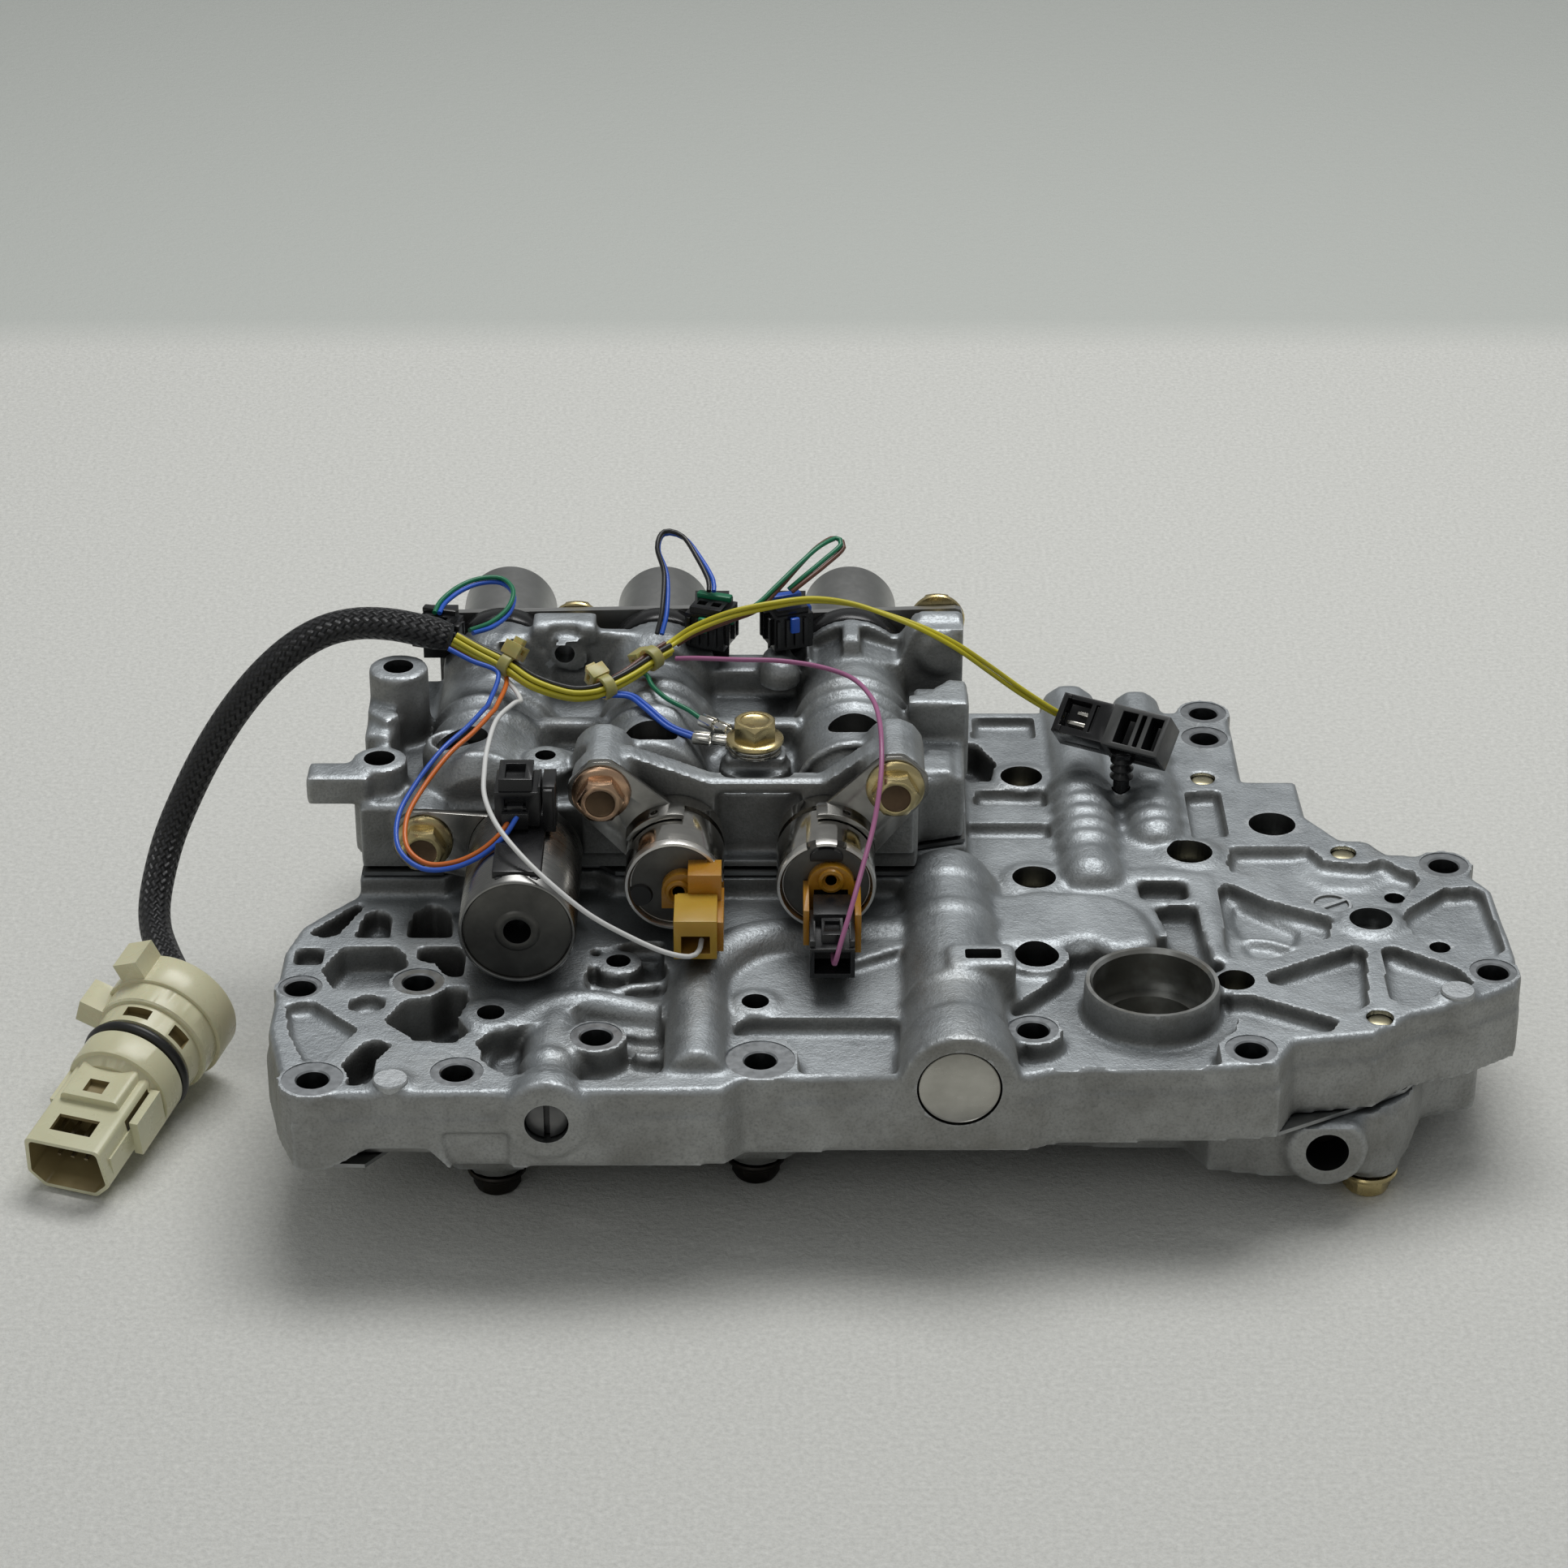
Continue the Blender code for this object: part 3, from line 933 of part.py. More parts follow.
def model_place(point):
    """A point of the datum frame as metres in the model, whose origin is under the middle."""
    return ((point[0] - ORIGIN_X) * MM, (point[1] - ORIGIN_Y) * MM, point[2] * MM)


def add(name, shape, finish, origin=(0.0, 0.0, 0.0)):
    """Makes the object of one sub-part, with its own origin, in metres."""
    mesh = mesh_of(name, shape, origin, MM)
    mesh.materials.append(MATERIALS[finish])
    mesh.shade_smooth()
    mesh.set_sharp_from_angle(angle=radians(32))
    item = bpy.data.objects.new(name, mesh)
    item.location = model_place(origin)
    bpy.context.scene.collection.objects.link(item)
    return item


def add_bolt(name, finish, length, position, head_axis):
    """A flange bolt whose head seats at a position and whose shank points against head_axis."""
    turn = Vector((0, 0, -1)).rotation_difference(Vector(head_axis)).to_matrix().to_4x4()
    return add(name, placed(hex_bolt(length), Matrix.Translation(position) @ turn), finish, position)


def add_castings():
    add("main_casting", main_casting(), "cast")
    add("lower_casting", lower_casting(), "cast")
    add("upper_casting", upper_casting(), "cast")
    add("separator_plate", separator_plate(), "steel")
    add("upper_separator_plate", upper_separator_plate(), "steel")


def add_fasteners():
    for i, (x, y, tip) in enumerate(BOTTOM_BOLTS, 1):
        add_bolt(f"bottom_bolt_{i}", "zinc", tip - (LOWER_Z - GAP), (x, y, LOWER_Z - GAP), (0, 0, -1))
    for name, finish, (x, z) in zip(("p", "d", "e"), ("zinc", "copper", "zinc"), BRACKET_BOLTS):
        add_bolt(f"bracket_bolt_{name}", finish, 14.0, (x, BRACKET_Y - GAP, z), (0, -1, 0))
    seat = REAR_WALL_Y + REAR_BODY_T + 3 * GAP + REAR_PLATE_T
    for i, (x, z) in enumerate(REAR_BOLTS, 1):
        add_bolt(f"rear_bolt_{i}", "zinc", 22.0, (x, seat, z), (0, 1, 0))
    head = GROUND_BOSS_Z + 2 * TERMINAL_T + 3 * GAP
    add_bolt("ground_bolt", "zinc", 14.0, (GROUND_X, GROUND_Y, head), (0, 0, 1))


def add_solenoids():
    add("pressure_solenoid", pressure_solenoid(), "can")
    add("pressure_plug", joined(box(-69.5, -57, 67.5, 80, 79.6, 91, 0.8), [box(-66, -60.5, 66.4, 78, 86, 93, 0.5)]), "black")
    x_d, x_e = SHIFT_X
    add("shift_solenoid_d", shift_solenoid(x_d, [box(x_d, x_d + 11.5, 57.5, SHIFT_FACE_Y + 0.5, 58, 71.5, 0.8)]), "nickel")
    add("shift_solenoid_e", shift_solenoid(x_e, [box(x_e - 5.5, x_e + 5.5, 58.5, SHIFT_FACE_Y + 0.5, 57, 70, 0.8)]), "nickel")
    add("shift_plug_d", joined(box(-26.5, -15.5, 44, 57.2, 55.6, 66.5, 0.6), [box(-27, -22, 42.4, 50, 55, 60.5)]), "amber")
    add("shift_plug_e", joined(box(5.8, 17.4, 42.4, 58.2, 54.6, 65, 0.6), [box(8.4, 14.6, 44, 56, 63, 66.6)]), "black")
    for name, x, plug in zip("abc", REAR_X, REAR_PLUGS):
        add(f"rear_solenoid_{name}", rear_solenoid(x, (plug[0] + 0.5, plug[1] - 0.5, plug[2] - 2)), "can")
        add(f"rear_plug_{name}", rear_plug(*plug), "black")
    add("rear_plate_left", rear_plate(-90.0, -18.4, REAR_X[:2], REAR_BOLTS[0]), "steel")
    add("rear_plate_right", rear_plate(3.5, 46.5, REAR_X[2:], REAR_BOLTS[1]), "steel")
    add("bracket_p", bracket(BRACKET_BOLTS[0], PRESSURE_X, PRESSURE_Z, 11.0, False), "nickel")
    add("bracket_d", bracket(BRACKET_BOLTS[1], SHIFT_X[0], SHIFT_Z, SHIFT_R - 1.6, True), "nickel")
    add("bracket_e", bracket(BRACKET_BOLTS[2], SHIFT_X[1], SHIFT_Z, SHIFT_R - 1.6, True), "nickel")


def add_valves():
    """The three spools on their joints' axes, with the plugs and springs that hold two of them."""
    plug_y = REGULATOR_FACE_Y + 0.4
    valve_y = REGULATOR_FACE_Y + 7.4
    face = (REGULATOR_X, plug_y, REGULATOR_Z)
    add("regulator_plug", turned_y(REGULATOR_X, REGULATOR_Z, ((plug_y, REGULATOR_PLUG_R - 0.4),
        (plug_y + 0.4, REGULATOR_PLUG_R), (plug_y + 6.2, REGULATOR_PLUG_R)), 24), "turned", face)
    valve = spool(REGULATOR_R, ((0, 14), (22, 34), (42, 56)), 56)
    start = (REGULATOR_X, valve_y, REGULATOR_Z)
    add("regulator_valve", placed(valve, Matrix.Translation((0, valve_y, 0)) @ along_y(REGULATOR_X, REGULATOR_Z)), "turned",
        start)
    spring_y = valve_y + 56 + GAP
    spring = coil_spring(5.2, 0.7, REGULATOR_BORE_END - GAP - spring_y, 6)
    add("regulator_spring", placed(spring, Matrix.Translation((0, spring_y, 0)) @ along_y(REGULATOR_X, REGULATOR_Z)), "steel",
        (REGULATOR_X, spring_y, REGULATOR_Z))
    plug_y = MODIFIER_FACE_Y + 4.5
    slotted = cut(turned_y(MODIFIER_X, MODIFIER_Z, ((plug_y, MODIFIER_R - 0.2), (plug_y + 6, MODIFIER_R - 0.2)), 16),
                  [box(MODIFIER_X - 0.8, MODIFIER_X + 0.8, plug_y - 2, plug_y + 2, MODIFIER_Z - 9, MODIFIER_Z + 9)])
    add("modifier_plug", slotted, "turned", (MODIFIER_X, plug_y, MODIFIER_Z))
    valve_y = plug_y + 6 + GAP
    valve = spool(MODIFIER_R, ((0, 7), (12, 18)), 18)
    add("modifier_valve", placed(valve, Matrix.Translation((0, valve_y, 0)) @ along_y(MODIFIER_X, MODIFIER_Z)), "turned",
        (MODIFIER_X, valve_y, MODIFIER_Z))
    spring_y = valve_y + 18 + GAP
    spring = coil_spring(3.4, 0.5, MODIFIER_BORE_END - GAP - spring_y, 5)
    add("modifier_spring", placed(spring, Matrix.Translation((0, spring_y, 0)) @ along_y(MODIFIER_X, MODIFIER_Z)), "steel",
        (MODIFIER_X, spring_y, MODIFIER_Z))
    valve = spool(MANUAL_R, ((0, 8), (16, 26), (38, 52)), 52)
    add("manual_valve", placed(valve, Matrix.Translation((0, 30, 0)) @ along_y(MANUAL_X, MANUAL_Z)), "turned",
        (MANUAL_X, 30, MANUAL_Z))


def add_sleeve():
    """The braided sleeve as a plain tube along its real route."""
    curve = bpy.data.curves.new("loom_sleeve", "CURVE")
    curve.dimensions = "3D"
    curve.bevel_depth = SLEEVE_R * MM
    curve.bevel_resolution = 3
    curve.use_fill_caps = True
    spline = curve.splines.new("POLY")
    spline.points.add(len(SLEEVE_ROUTE) - 1)
    for point, place in zip(spline.points, SLEEVE_ROUTE):
        point.co = (*(c * MM for c in place), 1.0)
    curve.materials.append(MATERIALS["sleeve"])
    item = bpy.data.objects.new("loom_sleeve", curve)
    item.location = model_place((0.0, 0.0, 0.0))
    bpy.context.scene.collection.objects.link(item)


def add_loom():
    """The wiring: trunk, ties, wires, terminals and the connectors at the loom's ends."""
    add("loom_trunk", swept(TRUNK_ROUTE, single_section(TRUNK_R, 10), 5.0), "yellow")
    for i, knot in enumerate(TIE_KNOTS, 1):
        add(f"cable_tie_{i}", cable_tie(knot), "tie")
    add("wire_pair_sensor", swept(SENSOR_ROUTE, twin_section(), 6.0), "yellow")
    add("wire_pair_pressure", swept(PRESSURE_ROUTE, twin_section(), 5.0), "blue")
    add("wire_shift_d", swept(SHIFT_D_ROUTE, single_section(WIRE_R), 5.0), "white")
    add("wire_shift_e", swept(SHIFT_E_ROUTE, single_section(WIRE_R), 5.5), "purple")
    add("wire_pair_ground", swept(GROUND_PAIR_ROUTE, twin_section(), 4.0), "blue")
    add("wire_ground", swept(GROUND_ROUTE, single_section(WIRE_R), 4.0), "green")
    for name, route, finish in zip("abc", LOOP_ROUTES, ("green", "blue", "green")):
        add(f"wire_loop_{name}", swept(route, twin_section(), 4.5), finish)
    add("ring_terminal_1", ring_terminal(0, (-1.0, 0.22), 15.2), "tin")
    add("ring_terminal_2", ring_terminal(1, (-1.0, 0.8), 16.6), "tin")
    add("sensor_plug", sensor_plug(), "black")
    add_sleeve()
    add("case_connector", case_connector(), "ivory", CASE_REAR)
    add("seal_ring", seal_ring(), "rubber", CASE_REAR)


for old in list(bpy.data.objects):
    bpy.data.objects.remove(old)
MATERIALS = make_materials()
add_castings()
add_fasteners()
add_solenoids()
add_valves()
add_loom()
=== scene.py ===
"""Looks of the transmission valve body: castings, solenoids, wiring, finishes, camera and light.

Lengths are in millimetres in the datum frame of the part's source (X right, Y to the rear from the main
casting's front edge, Z up from the bench) and become metres in the row frame when an object is made.
"""

import json
from math import atan2, cos, pi, radians, sin, sqrt

import bpy
from mathutils import Matrix, Vector

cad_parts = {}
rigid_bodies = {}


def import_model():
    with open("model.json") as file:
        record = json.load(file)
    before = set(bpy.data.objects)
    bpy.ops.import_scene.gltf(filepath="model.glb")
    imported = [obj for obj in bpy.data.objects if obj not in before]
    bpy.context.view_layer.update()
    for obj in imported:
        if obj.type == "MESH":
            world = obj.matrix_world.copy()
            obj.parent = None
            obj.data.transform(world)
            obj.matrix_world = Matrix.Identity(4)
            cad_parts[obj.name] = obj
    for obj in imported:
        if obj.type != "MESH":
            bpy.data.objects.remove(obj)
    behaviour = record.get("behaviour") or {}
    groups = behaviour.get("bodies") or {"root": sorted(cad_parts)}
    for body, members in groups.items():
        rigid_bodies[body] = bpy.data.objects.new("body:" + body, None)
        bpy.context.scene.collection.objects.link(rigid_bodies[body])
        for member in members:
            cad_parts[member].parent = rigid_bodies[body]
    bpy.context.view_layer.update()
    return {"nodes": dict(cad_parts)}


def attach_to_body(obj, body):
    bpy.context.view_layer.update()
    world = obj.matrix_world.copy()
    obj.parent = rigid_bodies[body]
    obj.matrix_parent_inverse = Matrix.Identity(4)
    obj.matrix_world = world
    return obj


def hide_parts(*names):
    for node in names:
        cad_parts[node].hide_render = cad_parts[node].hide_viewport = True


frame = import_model()
NODES = frame["nodes"]

# The row frame's origin in the datum frame, the heights of the stack, and the places that several pieces share

ORIGIN = (27.9, 96.0)
LOWER_Z, LOWER_TOP, MAIN_Z, DECK_Z, UPPER_Z = 6.4, 26.4, 28.0, 48.0, 55.0

REGULATOR, MODIFIER, MANUAL = (40.5, 45.0), (-54.5, 40.5), (128.5, 18.5)  # valve bores along Y, as (x, z)
PRESSURE_CAN, SHIFT_D_CAN, SHIFT_E_CAN = (-63.2, 64.0), (-26.5, 64.5), (10.2, 64.5)  # front solenoids, as (x, z)
REAR_X, REAR_Z = (-73.0, -32.0, 17.5), 75.5  # rear solenoids
BRACKET_BOLTS = ((-88.0, 67.7), (-44.4, 81.3), (27.0, 82.8))  # (x, z), for the brackets p, d and e
REAR_BOLTS = ((-54.2, 82.7), (40.0, 84.8))  # (x, z)
WINDOWS = ((-80.0, 107.0), (-33.0, 108.0), (17.5, 110.0))  # openings of the upper casting, as (x, y)
GROUND = (-7.2, 105.0)  # ground bolt
STRAINER = (87.5, 41.0)  # the round socket at the front right
PORT, HUB, FLANGE_HOLE, STEM = (61.0, 57.0), (144.0, 75.5), (125.0, 125.0), (87.2, 139.0)  # on the main deck


# Shapes, as (points, faces) in millimetres

def loft(rings, closed=False):
    """Skins rings of equal length, with a cap at each end unless the rings close on themselves."""
    count = len(rings[0])
    points = [tuple(p) for ring in rings for p in ring]
    faces = []
    for i in range(len(rings) if closed else len(rings) - 1):
        a, b = i * count, (i + 1) % len(rings) * count
        faces += [(a + k, a + (k + 1) % count, b + (k + 1) % count, b + k) for k in range(count)]
    if not closed:
        faces.append(tuple(reversed(range(count))))
        faces.append(tuple(range(len(points) - count, len(points))))
    return points, faces


def circle(x, y, radius, count=32, turn=0.0):
    return [(x + radius * cos(turn + 2 * pi * i / count),
             y + radius * sin(turn + 2 * pi * i / count)) for i in range(count)]


def lathe(profile, count=48):
    """A solid of revolution about local Z through (along, radius) pairs."""
    return loft([[(x, y, along) for x, y in circle(0, 0, r, count)] for along, r in profile])


def placed(shape, matrix):
    return [tuple(matrix @ Vector(p)) for p in shape[0]], shape[1]


def lathe_y(x, z, profile, count=48):
    """A solid of revolution about the Y axis through (y, radius) pairs."""
    rings = [[(x + a, y, z + b) for a, b in reversed(circle(0, 0, r, count))] for y, r in profile]
    return loft(rings)


def slab(outline, z0, z1):
    """A straight prism on a closed outline."""
    area = sum(a[0] * b[1] - b[0] * a[1] for a, b in zip(outline, outline[1:] + outline[:1]))
    ring = list(outline) if area > 0 else list(reversed(outline))
    return loft([[(x, y, z) for x, y in ring] for z in (z0, z1)])


def wall(outline, y0, y1):
    """A prism along Y on an (x, z) outline."""
    points, faces = slab([(x, -z) for x, z in outline], y0, y1)
    return [(x, y, -z) for x, z, y in points], faces


def block(x0, x1, y0, y1, z0, z1):
    return slab([(x0, y0), (x1, y0), (x1, y1), (x0, y1)], z0, z1)


def pillar(x, y, r, z0, z1, count=40):
    return slab(circle(x, y, r, count), z0, z1)


def stepped(x, y, profile, count=40):
    """An upright solid of revolution at (x, y) through (height, radius) pairs."""
    return placed(lathe(profile, count), Matrix.Translation((x, y, 0)))


def rounded(corners, radius, steps=5):
    """The outline with each corner replaced by an arc."""
    out = []
    n = len(corners)
    for i in range(n):
        p = Vector(corners[i])
        a = (Vector(corners[i - 1]) - p).normalized()
        b = (Vector(corners[(i + 1) % n]) - p).normalized()
        half = a.angle(b) / 2
        cut = min(radius / max(0.2, abs(sin(half) / cos(half))), (Vector(corners[i - 1]) - p).length / 2.1,
                  (Vector(corners[(i + 1) % n]) - p).length / 2.1)
        for s in range(steps + 1):
            t = s / steps
            q = p + a * cut * (1 - t) ** 2 + b * cut * t ** 2
            out.append(tuple(q))
    return out


def grown(outline, distance):
    """A counter-clockwise outline moved outwards, or inwards where the distance is negative."""
    out = []
    for i, point in enumerate(outline):
        ahead, back = Vector(outline[(i + 1) % len(outline)]), Vector(outline[i - 1])
        along = (ahead - back).normalized()
        out.append((point[0] + along.y * distance, point[1] - along.x * distance))
    return out


def merge(shapes):
    points, faces = [], []
    for p, f in shapes:
        base = len(points)
        points += p
        faces += [tuple(i + base for i in face) for face in f]
    return points, faces


def smooth(points, spacing):
    """Evenly spaced points of a Catmull-Rom curve through the given ones."""
    pts = [Vector(p) for p in points]
    pts = [pts[0] * 2 - pts[1]] + pts + [pts[-1] * 2 - pts[-2]]
    out = [pts[1]]
    for i in range(1, len(pts) - 2):
        p0, p1, p2, p3 = pts[i - 1:i + 3]
        steps = max(2, round((p2 - p1).length / spacing))
        for s in range(1, steps + 1):
            t = s / steps
            out.append(0.5 * (2 * p1 + (p2 - p0) * t + (2 * p0 - 5 * p1 + 4 * p2 - p3) * t * t
                              + (3 * p1 - p0 - 3 * p2 + p3) * t ** 3))
    return out


def frames_along(path):
    """(point, side, up) triples that don't twist along a path."""
    side = (path[1] - path[0]).cross(Vector((0, 0, 1)))
    side = side.normalized() if side.length > 1e-6 else Vector((1, 0, 0))
    out = []
    for i, point in enumerate(path):
        ahead = (path[min(i + 1, len(path) - 1)] - path[max(i - 1, 0)]).normalized()
        side = (side - ahead * side.dot(ahead)).normalized()
        out.append((point, side, ahead.cross(side)))
    return out


def tube(points, radius, spacing=2.0, count=14, offset=(0.0, 0.0), lay=0.0):
    """A round wire along a route; an offset from the route turns round it once in each length of lay."""
    path = smooth(points, spacing)
    rings = []
    run = 0.0
    for i, (point, side, up) in enumerate(frames_along(path)):
        run += (path[i] - path[i - 1]).length if i else 0.0
        turn = 2 * pi * run / lay if lay else 0.0
        a = offset[0] * cos(turn) - offset[1] * sin(turn)
        b = offset[0] * sin(turn) + offset[1] * cos(turn)
        centre = point + side * a + up * b
        rings.append([centre + side * x + up * y for x, y in circle(0, 0, radius, count)])
    return loft(rings)


# Objects

def metres(point):
    return ((point[0] - ORIGIN[0]) / 1000, (point[1] - ORIGIN[1]) / 1000, point[2] / 1000)


def mesh_from(name, shape):
    mesh = bpy.data.meshes.new(name)
    mesh.from_pydata([metres(p) for p in shape[0]], [], shape[1])
    mesh.validate()
    mesh.update()
    return mesh


def linked(name, mesh):
    item = bpy.data.objects.new(name, mesh)
    bpy.context.scene.collection.objects.link(item)
    return item


def baked(item):
    """Applies the object's modifiers."""
    bpy.context.view_layer.update()
    mesh = bpy.data.meshes.new_from_object(item.evaluated_get(bpy.context.evaluated_depsgraph_get()))
    item.modifiers.clear()
    item.data = mesh
    return item


def carve(item, shapes, material=None, exact=True):
    """Cuts the shapes out of the object; the cut faces take the material."""
    return carve_groups(item, [(shapes, material)], exact)


def carve_groups(item, groups, exact=True):
    """Cuts several groups of shapes in one step, each with the material of its cut faces."""
    shapes = [shape for group, _ in groups for shape in group]
    if not shapes:
        return item
    tool = linked("tool", mesh_from("tool", merge(shapes)))
    kinds = [material for _, material in groups if material]
    for material in kinds:
        tool.data.materials.append(material)
    if kinds:
        index = [kinds.index(material) for group, material in groups for shape in group for _ in shape[1]]
        tool.data.polygons.foreach_set("material_index", index)
    step = item.modifiers.new("cut", "BOOLEAN")
    step.operation, step.object, step.solver = "DIFFERENCE", tool, "EXACT"
    step.use_self = exact
    step.material_mode = "TRANSFER"
    baked(item)
    bpy.data.objects.remove(tool)
    return item


def rounded_edges(item, width):
    step = item.modifiers.new("edges", "BEVEL")
    step.width, step.segments, step.limit_method = width / 1000, 2, "ANGLE"
    step.angle_limit = radians(30)
    return baked(item)


def shaded(item, angle=40):
    item.data.shade_smooth()
    item.data.set_sharp_from_angle(angle=radians(angle))
    return item


def attach(item, nodes, body):
    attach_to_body(item, body)
    if nodes:
        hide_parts(*nodes)
    return item


def piece(name, shapes, material, nodes=(), bevel=0.0, cuts=(), body="stack", angle=40, cut_material=None):
    """One finished piece of the object, made of closed shapes with cuts and rounded edges."""
    item = linked(name, mesh_from(name, merge(shapes)))
    item.data.materials.append(material)
    carve(item, list(cuts), cut_material)
    if bevel:
        rounded_edges(item, bevel)
    shaded(item, angle)
    return attach(item, nodes, body)


# Materials

class Nodes:
    """A short way to build one material's node tree."""

    def __init__(self, name):
        self.material = bpy.data.materials.new(name)
        self.material.use_nodes = True
        self.tree = self.material.node_tree
        self.shader = self.tree.nodes["Principled BSDF"]
        self.place = self.tree.nodes.new("ShaderNodeTexCoord").outputs["Object"]

    def link(self, a, b):
        self.tree.links.new(a, b)

    def node(self, kind, **values):
        made = self.tree.nodes.new(kind)
        for key, value in values.items():
            setattr(made, key, value)
        return made

    def stretched(self, scale):
        """Object coordinates scaled along each axis, for brushed and drawn surfaces."""
        made = self.node("ShaderNodeMapping")
        made.inputs["Scale"].default_value = scale
        self.link(self.place, made.inputs["Vector"])
        return made.outputs["Vector"]

    def noise(self, scale, detail=3.0, rough=0.55, place=None):
        made = self.node("ShaderNodeTexNoise")
        made.inputs["Scale"].default_value = scale
        made.inputs["Detail"].default_value = detail
        made.inputs["Roughness"].default_value = rough
        self.link(place or self.place, made.inputs["Vector"])
        return made.outputs["Fac"]

    def span(self, value, low, high, a=0.3, b=0.7):
        """Maps the range a to b of a value onto low to high."""
        made = self.node("ShaderNodeMapRange")
        for key, number in zip(("From Min", "From Max", "To Min", "To Max"), (a, b, low, high)):
            made.inputs[key].default_value = number
        self.link(value, made.inputs["Value"])
        return made.outputs["Result"]

    def math(self, operation, a, b):
        made = self.node("ShaderNodeMath", operation=operation)
        for socket, value in zip(made.inputs, (a, b)):
            if isinstance(value, (int, float)):
                socket.default_value = value
            else:
                self.link(value, socket)
        return made.outputs[0]

    def blend(self, share, a, b):
        """Mixes two colours, or a colour and a socket, by a share."""
        made = self.node("ShaderNodeMix", data_type="RGBA")
        for socket, value in zip((made.inputs[0], made.inputs[6], made.inputs[7]), (share, a, b)):
            if isinstance(value, (int, float)):
                socket.default_value = value
            elif isinstance(value, tuple):
                socket.default_value = (*value, 1.0)
            else:
                self.link(value, socket)
        return made.outputs[2]

    def colour(self, socket):
        self.link(socket, self.shader.inputs["Base Color"])

    def rough(self, socket):
        self.link(socket, self.shader.inputs["Roughness"])

    def bump(self, height, depth, strength):
        made = self.node("ShaderNodeBump")
        made.inputs["Strength"].default_value = strength
        made.inputs["Distance"].default_value = depth
        self.link(height, made.inputs["Height"])
        self.link(made.outputs["Normal"], self.shader.inputs["Normal"])

    def set(self, **values):
        for key, value in values.items():
            self.shader.inputs[key.replace("_", " ")].default_value = value
        return self.material


def upward(n):
    """1 where the surface faces up, 0 on upright walls, -1 below."""
    split = n.node("ShaderNodeSeparateXYZ")
    n.link(n.node("ShaderNodeNewGeometry").outputs["Normal"], split.inputs["Vector"])
    return split.outputs["Z"]


def cast_aluminium():
    """Die-cast skin: blasted grain, cool on top, walls painted darker and warmer by the way they face as painted shade,
    painted shade in corners, painted highlights on edges.
    """
    n = Nodes("cast_aluminium")
    flat = n.span(upward(n), 0.0, 1.0, 0.3, 0.85)
    mottle = n.noise(75, 5, 0.65)
    top = n.blend(n.span(mottle, 0, 1, 0.32, 0.68), (0.31, 0.332, 0.346), (0.41, 0.437, 0.452))
    side = n.blend(n.span(n.noise(48, 5, 0.7), 0, 1, 0.34, 0.66), (0.255, 0.255, 0.24), (0.39, 0.395, 0.385))
    # Painted shade: surfaces that turn away from upright take the darker, warmer wall colour, by the way they face.
    colour = n.blend(flat, side, top)
    stain = n.span(n.noise(26, 4, 0.6), 0.0, 0.3, 0.55, 0.7)
    colour = n.blend(stain, colour, (0.20, 0.185, 0.155))
    # Painted shade: ambient occlusion darkens the colour towards black in corners, pockets and recesses.
    corner = n.node("ShaderNodeAmbientOcclusion")
    corner.samples = 6
    corner.inputs["Distance"].default_value = 0.013
    colour = n.blend(n.span(corner.outputs["AO"], 0.78, 0.0, 0.22, 0.82), colour, (0.022, 0.023, 0.024))
    # Painted highlight: convex edges, found by pointiness, are painted a light grey.
    painted_edge_highlight = n.node("ShaderNodeNewGeometry").outputs["Pointiness"]
    colour = n.blend(n.span(painted_edge_highlight, 0.0, 0.5, 0.515, 0.56), colour, (0.60, 0.62, 0.63))
    speck = n.noise(1500, 2, 0.6)
    n.colour(n.blend(n.span(speck, 0.0, 0.24, 0.5, 0.75), colour, (0.12, 0.125, 0.13)))
    base = n.span(flat, 0.60, 0.50, 0, 1)
    n.rough(n.math("ADD", base, n.math("ADD", n.span(speck, -0.08, 0.08), n.span(mottle, -0.06, 0.06))))
    grain = n.math("ADD", n.math("MULTIPLY", speck, 0.7), n.noise(520, 3, 0.6))
    n.bump(grain, 0.0003, 0.5)
    return n.set(Metallic=0.82)


def tooled(name, light, dark, low, high, scale):
    """Nodes of a metal with fine tool marks drawn along one way, and the socket of its colour."""
    n = Nodes(name)
    marks = n.noise(1, 4, 0.6, n.stretched(scale))
    cloud = n.noise(90, 4, 0.6)
    n.rough(n.span(n.math("ADD", marks, n.math("MULTIPLY", cloud, 0.4)), low, high, 0.4, 1.0))
    n.bump(marks, 0.00003, 0.25)
    return n, n.blend(n.span(cloud, 0, 1), light, dark)


def machined(name, light, dark, low, high, scale, metallic=1.0):
    """Metal with fine tool marks and clouds of two tones."""
    n, colour = tooled(name, light, dark, low, high, scale)
    n.colour(colour)
    return n.set(Metallic=metallic)


def bored(name, light, dark, scale, stain=0.0):
    """Machined metal inside holes: tool rings, oil stains, and painted shade that darkens it the deeper it lies."""
    n, colour = tooled(name, light, dark, 0.25, 0.42, scale)
    if stain:
        colour = n.blend(n.span(n.noise(55, 4, 0.6), 0.0, stain, 0.48, 0.6), colour, (0.10, 0.085, 0.055))
    # Painted shade: ambient occlusion darkens the colour towards black deep inside holes and bores.
    painted_depth_shade = n.node("ShaderNodeAmbientOcclusion")
    painted_depth_shade.samples = 6
    painted_depth_shade.inputs["Distance"].default_value = 0.013
    n.colour(n.blend(n.span(painted_depth_shade.outputs["AO"], 0.9, 0.0, 0.06, 0.6), colour, (0.010, 0.010, 0.010)))
    return n.set(Metallic=1.0)


def plastic(name, light, dark, low, high, **extra):
    """Moulded plastic: faint clouding, fine texture and a few duller rubbed places."""
    n = Nodes(name)
    n.colour(n.blend(n.span(n.noise(55, 4, 0.6), 0, 1), light, dark))
    n.rough(n.span(n.noise(130, 4, 0.6), low, high))
    n.bump(n.noise(700, 3, 0.6), 0.00003, 0.3)
    return n.set(**extra)


